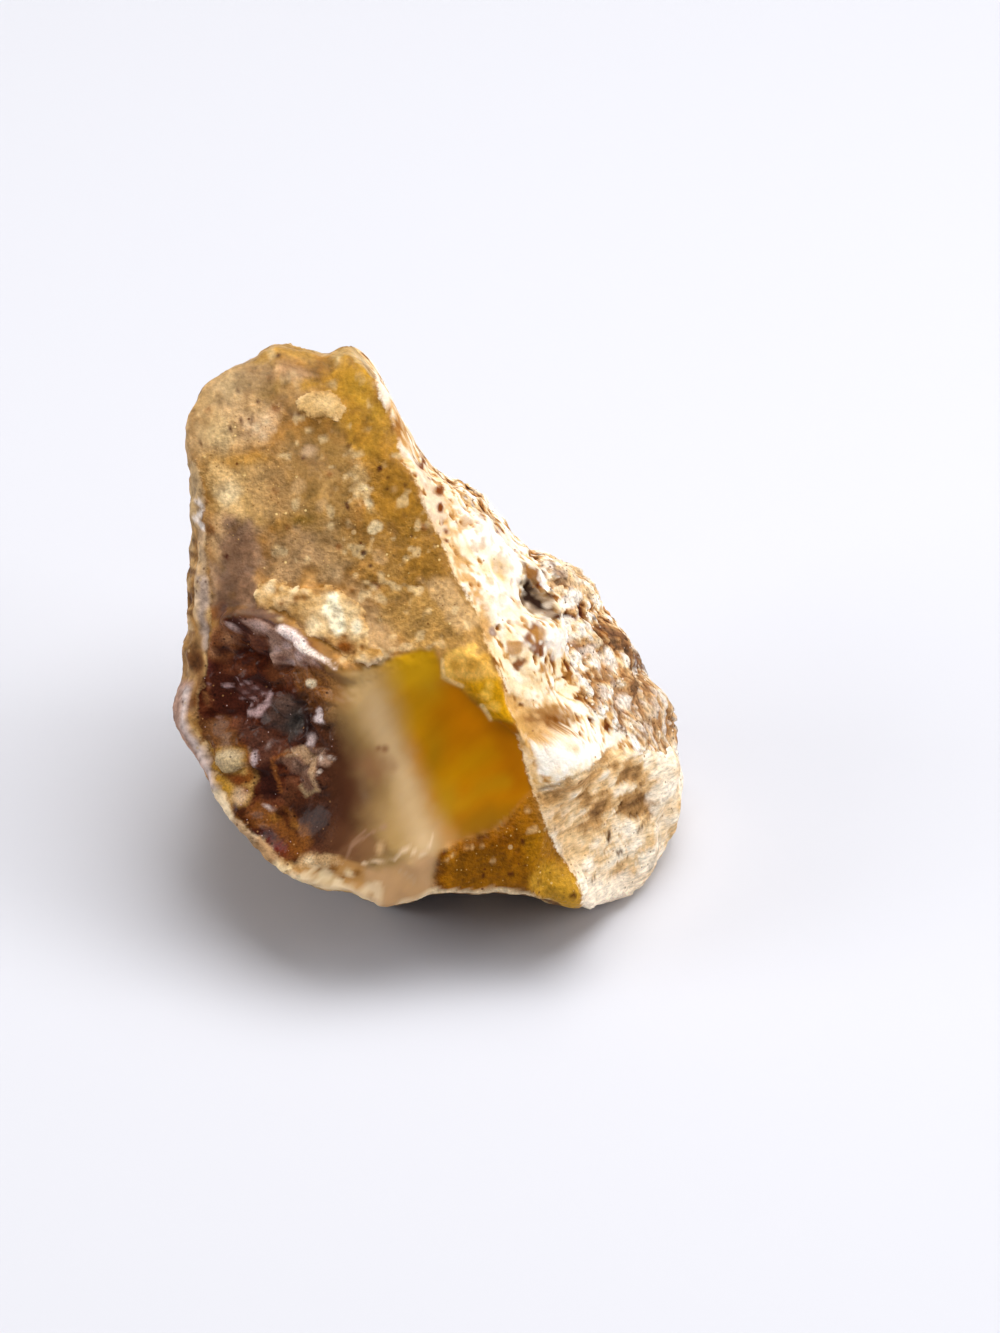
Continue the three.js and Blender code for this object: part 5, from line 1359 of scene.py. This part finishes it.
# %% Store the attributes
SUGARY = [
    (-18.4, 25), (-14, 25), (-13.6, 19), (-12.4, 15.6), (-8, 14.4), (-6.4, 19.4), (-4.4, 19.4), (-4, 14),
    (0.6, 13), (4.6, 6), (4, 2.4), (0, 1.4), (-2, 1), (-4, 5), (-8, 8), (-16, 9), (-16, 13), (-21, 13),
    (-21, 21.4),
]
COLOURS = {
    "heart": HEART,
    "crust": CRUST,
    "hollow": HOLLOW,
    "rind": RIND_COLOUR,
    "bark": BARK_COLOUR,
    "cut": CUT_COLOUR,
    "matrix": MATRIX_COLOUR,
}
INSIDE_MM = {
    "sugary_mm": np.maximum(patch(DRAWN, *SUGARY), patch(DRAWN, *STRIP_BORDER)) + 2 * RAGGED,
    "crust_mm": CRUST_MM,
    "hollow_mm": front_or_back(HOLLOW_MM, OFF),
    "rind_mm": front_or_back(PAST_RIND_EDGE, BACK_SKIN_MM),
    "bark_mm": front_or_back(BARK_MM, 4 - 10 * CLEAN_EDGE),
    "cut_mm": front_or_back(np.minimum(patch(DRAWN, *CUT_BORDER), -BARK_MM), 20 * CLEAN_EDGE - 8),
    "matrix_mm": np.maximum(MATRIX_MM, ROPES_MM) - FOOT_CORNER,
    "window_mm": front_or_back(WINDOW_MM, OFF),
}
for name, colour in COLOURS.items():
    kept = stone.data.color_attributes.new(name, "FLOAT_COLOR", "POINT")
    rgba = np.concatenate([np.clip(colour, 0, 1), np.ones((len(colour), 1))], axis=1)
    kept.data.foreach_set("color", rgba.astype(np.float32).ravel())
for name, distance in INSIDE_MM.items():
    kept = stone.data.attributes.new(name, "FLOAT", "POINT")
    kept.data.foreach_set("value", distance.astype(np.float32))
print("attributes:", [a.name for a in stone.data.attributes if not a.name.startswith(".")])

# %% [markdown]
# ## Opal, chalk and bark in one material
#
# Common opal breaks with a waxy to glassy surface: its index is 1.45, low for a stone, so it gleams softly.
# Chalky rind and bark scatter light and hardly gleam. One material holds them all, since they grade into each
# other on the real stone. One small function adds a node, and rows of numbers say what each layer is like.

# %% One function that adds a node
material = bpy.data.materials.new("common opal with chalk rind and bark, broken and weathered")
material.use_nodes = True
material.node_tree.nodes.clear()


def add(kind, inputs=None, **settings):
    """Adds a node: settings are its own choices, inputs its sockets' values or the links into them."""
    node = material.node_tree.nodes.new(kind)
    for name, value in settings.items():
        setattr(node, name, value)
    for socket, value in (inputs or {}).items():
        if isinstance(value, bpy.types.NodeSocket):
            material.node_tree.links.new(value, node.inputs[socket])
        else:
            node.inputs[socket].default_value = value
    return node


print("material:", material.name)

# %% Places in millimetres: plain, along the grain and along the torn fibres
object_place = add("ShaderNodeTexCoord").outputs["Object"]
PLACES = {"plain": add("ShaderNodeMapping", {"Vector": object_place, "Scale": (1 / MM,) * 3})}
for name, axes in {
    "grain": (GRAIN, BARK_WAY, ROUND_TRUNK),
    "fibre": (FIBRE, ACROSS_FIBRE, CUT_WAY),
    "face": (direction(0.72, 0.69, 0), direction(-0.69, 0.72, 0), direction(0, 0, 1)),
}.items():
    turn = Matrix((np.stack(axes) @ FACE).tolist()).to_euler("XYZ")
    PLACES[name] = add("ShaderNodeMapping", {"Vector": PLACES["plain"].outputs[0], "Rotation": tuple(turn)})
print("places:", ", ".join(PLACES))

# %% [markdown]
# The grain of each layer is noise of a real size. The finest that shows here is about 0.2 mm. Wood cells are
# several times finer and opal's spheres hundreds of times, so both are left to roughness.

# %% Noise of real sizes
# Name: places, lump size along them in mm, layers of finer detail.
GRAINS = {
    "sugar": ("plain", (0.45, 0.45, 0.45), 3),
    "grit": ("plain", (0.22, 0.22, 0.22), 2),
    "crumb": ("plain", (0.9, 0.9, 0.9), 3),
    "ropes": ("grain", (1.1, 0.5, 0.5), 3),
    "fibres": ("fibre", (1.0, 0.34, 0.34), 3),
    "bits": ("grain", (0.5, 0.3, 0.3), 3),
    "streaks": ("face", (6.0, 1.6, 3.0), 2),
}
grain = {}
for name, (places, size, detail) in GRAINS.items():
    scaled = add("ShaderNodeVectorMath", {0: PLACES[places].outputs[0], 1: size}, operation="DIVIDE")
    grain[name] = add("ShaderNodeTexNoise", {
        "Vector": scaled.outputs[0], "Scale": 1.0, "Detail": detail, "Roughness": 0.55,
    }).outputs["Fac"]
print("grains:", ", ".join(grain))

# %% Covers: how much of each layer shows
# Attribute: the grain that roughens its border, by how many mm, and the border's softness in mm.
BORDERS = {
    "sugary_mm": ("crumb", 3.0, 0.8),
    "window_mm": ("sugar", 0.3, 0.3),
    "crust_mm": ("sugar", 0.9, 0.12),
    "hollow_mm": ("sugar", 0.8, 0.35),
    "rind_mm": ("sugar", 0.9, 0.22),
    "cut_mm": ("fibres", 1.0, 0.25),
    "bark_mm": ("ropes", 1.6, 0.3),
    "matrix_mm": ("crumb", 1.6, 0.25),
}
cover = {}
for name, (edge_grain, ragged, soft) in BORDERS.items():
    inside = add("ShaderNodeAttribute", attribute_name=name).outputs["Fac"]
    moved = add("ShaderNodeMath", {0: grain[edge_grain], 1: ragged, 2: inside}, operation="MULTIPLY_ADD")
    cover[name] = add("ShaderNodeMapRange", {
        "Value": moved.outputs[0], "From Min": ragged / 2 - soft, "From Max": ragged / 2 + soft,
    }, interpolation_type="SMOOTHSTEP").outputs["Result"]
# Bark and cut show only within the skin, and matrix only off it.
off_skin = add("ShaderNodeMath", {0: 1.0, 1: cover["rind_mm"]}, operation="SUBTRACT").outputs[0]
for name, within in {"bark_mm": cover["rind_mm"], "cut_mm": cover["rind_mm"], "matrix_mm": off_skin}.items():
    cover[name] = add("ShaderNodeMath", {0: cover[name], 1: within}, operation="MULTIPLY").outputs[0]
print("covers:", ", ".join(cover))

# %% [markdown]
# Each layer has a stored colour, a grain that darkens and lightens it, a bump of so many millimetres, a
# roughness, a share of clear gloss, and how much light wanders inside before it leaves. The layers are laid
# one over another by their covers, and all five finishes are mixed by the same cover.

# %% Layers of the stone
# Colour, cover, colour grain, darkest, lightest, bump grain, bump in mm, roughness, gloss, light inside.
LAYERS = [
    ("heart", None, "sugar", 0.72, 1.3, "sugar", 0.1, 0.4, 0.04, 0.15),
    ("heart", "sugary_mm", "sugar", 0.66, 1.36, "sugar", 0.2, 0.42, 0.02, 0.1),
    ("heart", "window_mm", "streaks", 0.95, 1.05, "streaks", 0.006, 0.28, 0.06, 0.3),
    ("crust", "crust_mm", "sugar", 0.7, 1.3, "sugar", 0.2, 0.6, 0.0, 0.1),
    ("hollow", "hollow_mm", "grit", 0.55, 1.45, "crumb", 0.08, 0.28, 0.11, 0.1),
    ("rind", "rind_mm", "grit", 0.88, 1.08, "sugar", 0.12, 0.72, 0.0, 0.1),
    ("cut", "cut_mm", "fibres", 0.6, 1.36, "fibres", 0.16, 0.6, 0.0, 0.05),
    ("bark", "bark_mm", "bits", 0.4, 1.5, "ropes", 0.28, 0.82, 0.0, 0.0),
    ("matrix", "matrix_mm", "crumb", 0.5, 1.5, "crumb", 0.3, 0.6, 0.0, 0.0),
]
finish = {}
for stored, cover_name, tint, dark, light, bump, bump_mm, rough, gloss, inside in LAYERS:
    shade = add("ShaderNodeMapRange", {
        "Value": grain[tint], "From Min": 0.25, "From Max": 0.75, "To Min": dark, "To Max": light,
    }).outputs["Result"]
    own_colour = add("ShaderNodeAttribute", attribute_name=stored).outputs["Color"]
    tinted = add("ShaderNodeVectorMath", {0: own_colour, "Scale": shade}, operation="SCALE").outputs[0]
    raised = add("ShaderNodeMath", {0: grain[bump], 1: bump_mm}, operation="MULTIPLY").outputs[0]
    own = {"colour": tinted, "height": raised, "rough": rough, "gloss": gloss, "inside": inside}
    if cover_name is None:
        finish = own
        continue
    for part, value in own.items():
        kind, first, second, result = ("RGBA", 6, 7, 2) if part == "colour" else ("FLOAT", 2, 3, 0)
        finish[part] = add("ShaderNodeMix", {0: cover[cover_name], first: finish[part], second: value},
                           data_type=kind).outputs[result]
print("layers:", len(LAYERS))

# %% [markdown]
# Specks come last: painted glints, bright spots of colour where the sugar's crystals and the hollow's glass
# would catch the light, rust specks in the heart, and dark pores in the bark and the matrix. Each is a
# scattered point with a chance of its own, so most points stay empty.

# %% Specks
# Name, layer it lies in, spacing in mm, radius in mm, share of points, colour, strength.
SPECKS = [
    # Painted highlights: the sugar and fine glints in the heart, and the garnet and tan glints in the hollow.
    ("sugar glint", "heart", 1.0, 0.15, 0.3, "#efcf8a", 0.7),
    ("fine glint", "heart", 0.5, 0.09, 0.3, "#dbb068", 0.6),
    ("clay grain", "heart", 1.9, 0.3, 0.3, "#cfae7c", 0.6),
    ("rust speck", "heart", 1.1, 0.16, 0.3, "#5a2a0c", 0.8),
    ("brown pit", "heart", 0.6, 0.1, 0.25, "#6d4216", 0.7),
    ("garnet glint", "hollow", 0.7, 0.08, 0.3, "#c9a8a0", 0.8),
    ("tan glint", "hollow", 0.9, 0.13, 0.35, "#a8784a", 0.7),
    ("dark chip", "hollow", 0.8, 0.17, 0.4, "#1c0804", 0.7),
    ("rind pit", "rind", 1.0, 0.14, 0.3, "#9a6c44", 0.8),
    ("torn pore", "cut", 0.8, 0.13, 0.35, "#77522e", 0.7),
    ("bark pore", "bark", 0.55, 0.13, 0.5, "#4a2a14", 0.8),
    ("bark crumb", "bark", 0.75, 0.15, 0.35, "#fff0dc", 0.7),
    ("matrix pore", "matrix", 0.8, 0.18, 0.45, "#54301a", 0.6),
    ("matrix grain", "matrix", 1.1, 0.24, 0.4, "#c7a676", 0.5),
]
heart_only = off_skin
for name in ("window_mm", "hollow_mm", "matrix_mm"):
    clear_of = add("ShaderNodeMath", {0: 1.0, 1: cover[name]}, operation="SUBTRACT").outputs[0]
    heart_only = add("ShaderNodeMath", {0: heart_only, 1: clear_of}, operation="MULTIPLY").outputs[0]
in_sugar = add("ShaderNodeMath", {0: heart_only, 1: cover["sugary_mm"]}, operation="MULTIPLY")
bare_rind = add("ShaderNodeMath", {0: cover["rind_mm"], 1: cover["bark_mm"]}, operation="SUBTRACT")
where = {kind: cover[kind + "_mm"] for kind in ("hollow", "cut", "bark", "matrix")}
where |= {"heart": in_sugar.outputs[0], "rind": bare_rind.outputs[0]}
for number, (name, kind, spacing, radius, share, code, strength) in enumerate(SPECKS):
    moved = add("ShaderNodeVectorMath", {0: PLACES["plain"].outputs[0], 1: (3.7 * number, 1.3 * number, 0.0)})
    points = add("ShaderNodeTexVoronoi", {"Vector": moved.outputs[0], "Scale": 1 / spacing}, label=name)
    near = add("ShaderNodeMapRange", {
        "Value": points.outputs["Distance"], "From Min": radius / spacing, "From Max": 0.6 * radius / spacing,
        "To Max": strength,
    })
    own_chance = add("ShaderNodeSeparateColor", {0: points.outputs["Color"]}).outputs[0]
    lucky = add("ShaderNodeMath", {0: own_chance, 1: share}, operation="LESS_THAN")
    shown = add("ShaderNodeMath", {0: near.outputs[0], 1: lucky.outputs[0]}, operation="MULTIPLY")
    shown = add("ShaderNodeMath", {0: shown.outputs[0], 1: where[kind]}, operation="MULTIPLY")
    finish["colour"] = add("ShaderNodeMix", {0: shown.outputs[0], 6: finish["colour"], 7: (*linear(code), 1)},
                           data_type="RGBA").outputs[2]
print("specks:", ", ".join(row[0] for row in SPECKS))

# %% Shader
OPAL_IOR = 1.45
# Dust and fine breaks dull the body's gleam, and the coat adds gloss where the opal is glassy.
BODY_GLEAM, COAT_ROUGHNESS = 0.08, 0.08
# Light wanders about 1.2 mm inside, and red light farthest, because iron takes up the blue.
WANDERS, WANDERS_BY_COLOUR = 1.2 * MM, (1.0, 0.6, 0.3)
bump = add("ShaderNodeBump", {"Height": finish["height"], "Distance": MM, "Strength": 1.0})
opal = add("ShaderNodeBsdfPrincipled", {
    "Base Color": finish["colour"],
    "Roughness": finish["rough"],
    "Coat Weight": finish["gloss"],
    "Subsurface Weight": finish["inside"],
    "Subsurface Radius": WANDERS_BY_COLOUR,
    "Subsurface Scale": WANDERS,
    "IOR": OPAL_IOR,
    "Specular IOR Level": BODY_GLEAM,
    "Coat Roughness": COAT_ROUGHNESS,
    "Coat IOR": OPAL_IOR,
    "Normal": bump.outputs["Normal"],
})
add("ShaderNodeOutputMaterial", {"Surface": opal.outputs["BSDF"]})
stone.data.materials.append(material)
print("material:", len(material.node_tree.nodes), "nodes")

# %% [markdown]
# ## Floor, light and camera
#
# The stone lies on a floor of matt white paper. Matt paper scatters light evenly, so the eye sees no gleam
# there, only the stone's soft shadow. A wide soft light hangs over the stone, a little behind and to the
# right, and two weaker ones stand on the right and on the left. The camera looks square on to the broken
# face, 40 degrees above the floor.

# %% Floor
FLOOR_HALF = 1500.0  # mm
floor = make_mesh("floor", np.array([(-1, -1, 0), (1, -1, 0), (1, 1, 0), (-1, 1, 0)]) * FLOOR_HALF,
                  np.array([[0, 1, 2, 3]]))
paper = bpy.data.materials.new("matt white paper")
paper.use_nodes = True
paper_finish = paper.node_tree.nodes["Principled BSDF"].inputs
paper_finish["Base Color"].default_value = (*linear("#d0d0d6"), 1)
paper_finish["Roughness"].default_value = 0.8
floor.data.materials.append(paper)
print("floor:", 2 * FLOOR_HALF, "mm square")

# %% Light
STONE_MIDDLE = Vector((0, 0, 22 * MM))
ROOM_BRIGHTNESS = 0.22


def soft_light(name, place, size, power):
    """A square light turned to the stone's middle."""
    light = bpy.data.lights.new(name, "AREA")
    light.size = size
    light.energy = power
    lamp = bpy.data.objects.new(name, light)
    lamp.location = place
    lamp.rotation_euler = (STONE_MIDDLE - Vector(place)).to_track_quat("-Z", "Y").to_euler()
    bpy.context.scene.collection.objects.link(lamp)


# Name, place in metres, side in metres, power in watts.
soft_light("overhead", (0.10, 0.10, 0.55), 0.5, 3.9)
soft_light("right", (0.55, -0.10, 0.30), 0.35, 1.6)
soft_light("left", (-0.50, -0.05, 0.30), 0.3, 1.2)
world = bpy.data.worlds.new("pale room")
world.use_nodes = True
room = world.node_tree.nodes["Background"].inputs
room["Color"].default_value = (*linear("#f2f3f7"), 1)
room["Strength"].default_value = ROOM_BRIGHTNESS
bpy.context.scene.world = world
bpy.context.scene.view_settings.view_transform = "Standard"
print("lights:", [light.name for light in bpy.data.lights])

# %% Camera
FRAME_LONG_SIDE = 133.3  # mm of the face plane that the frame's long side takes in
SENSOR = 36  # mm
eye = bpy.data.cameras.new("eye")
eye.sensor_width = SENSOR
eye.lens = SENSOR * EYE_DISTANCE / FRAME_LONG_SIDE
camera = bpy.data.objects.new("eye", eye)
stood = np.append(EYE_MIDDLE, EYE_DISTANCE) @ FACE + SEED
camera.location = stood * MM
camera.rotation_euler = Matrix(FACE.T.tolist()).to_euler()
bpy.context.scene.collection.objects.link(camera)
bpy.context.scene.camera = camera
print("camera, mm:", stood.round(1))
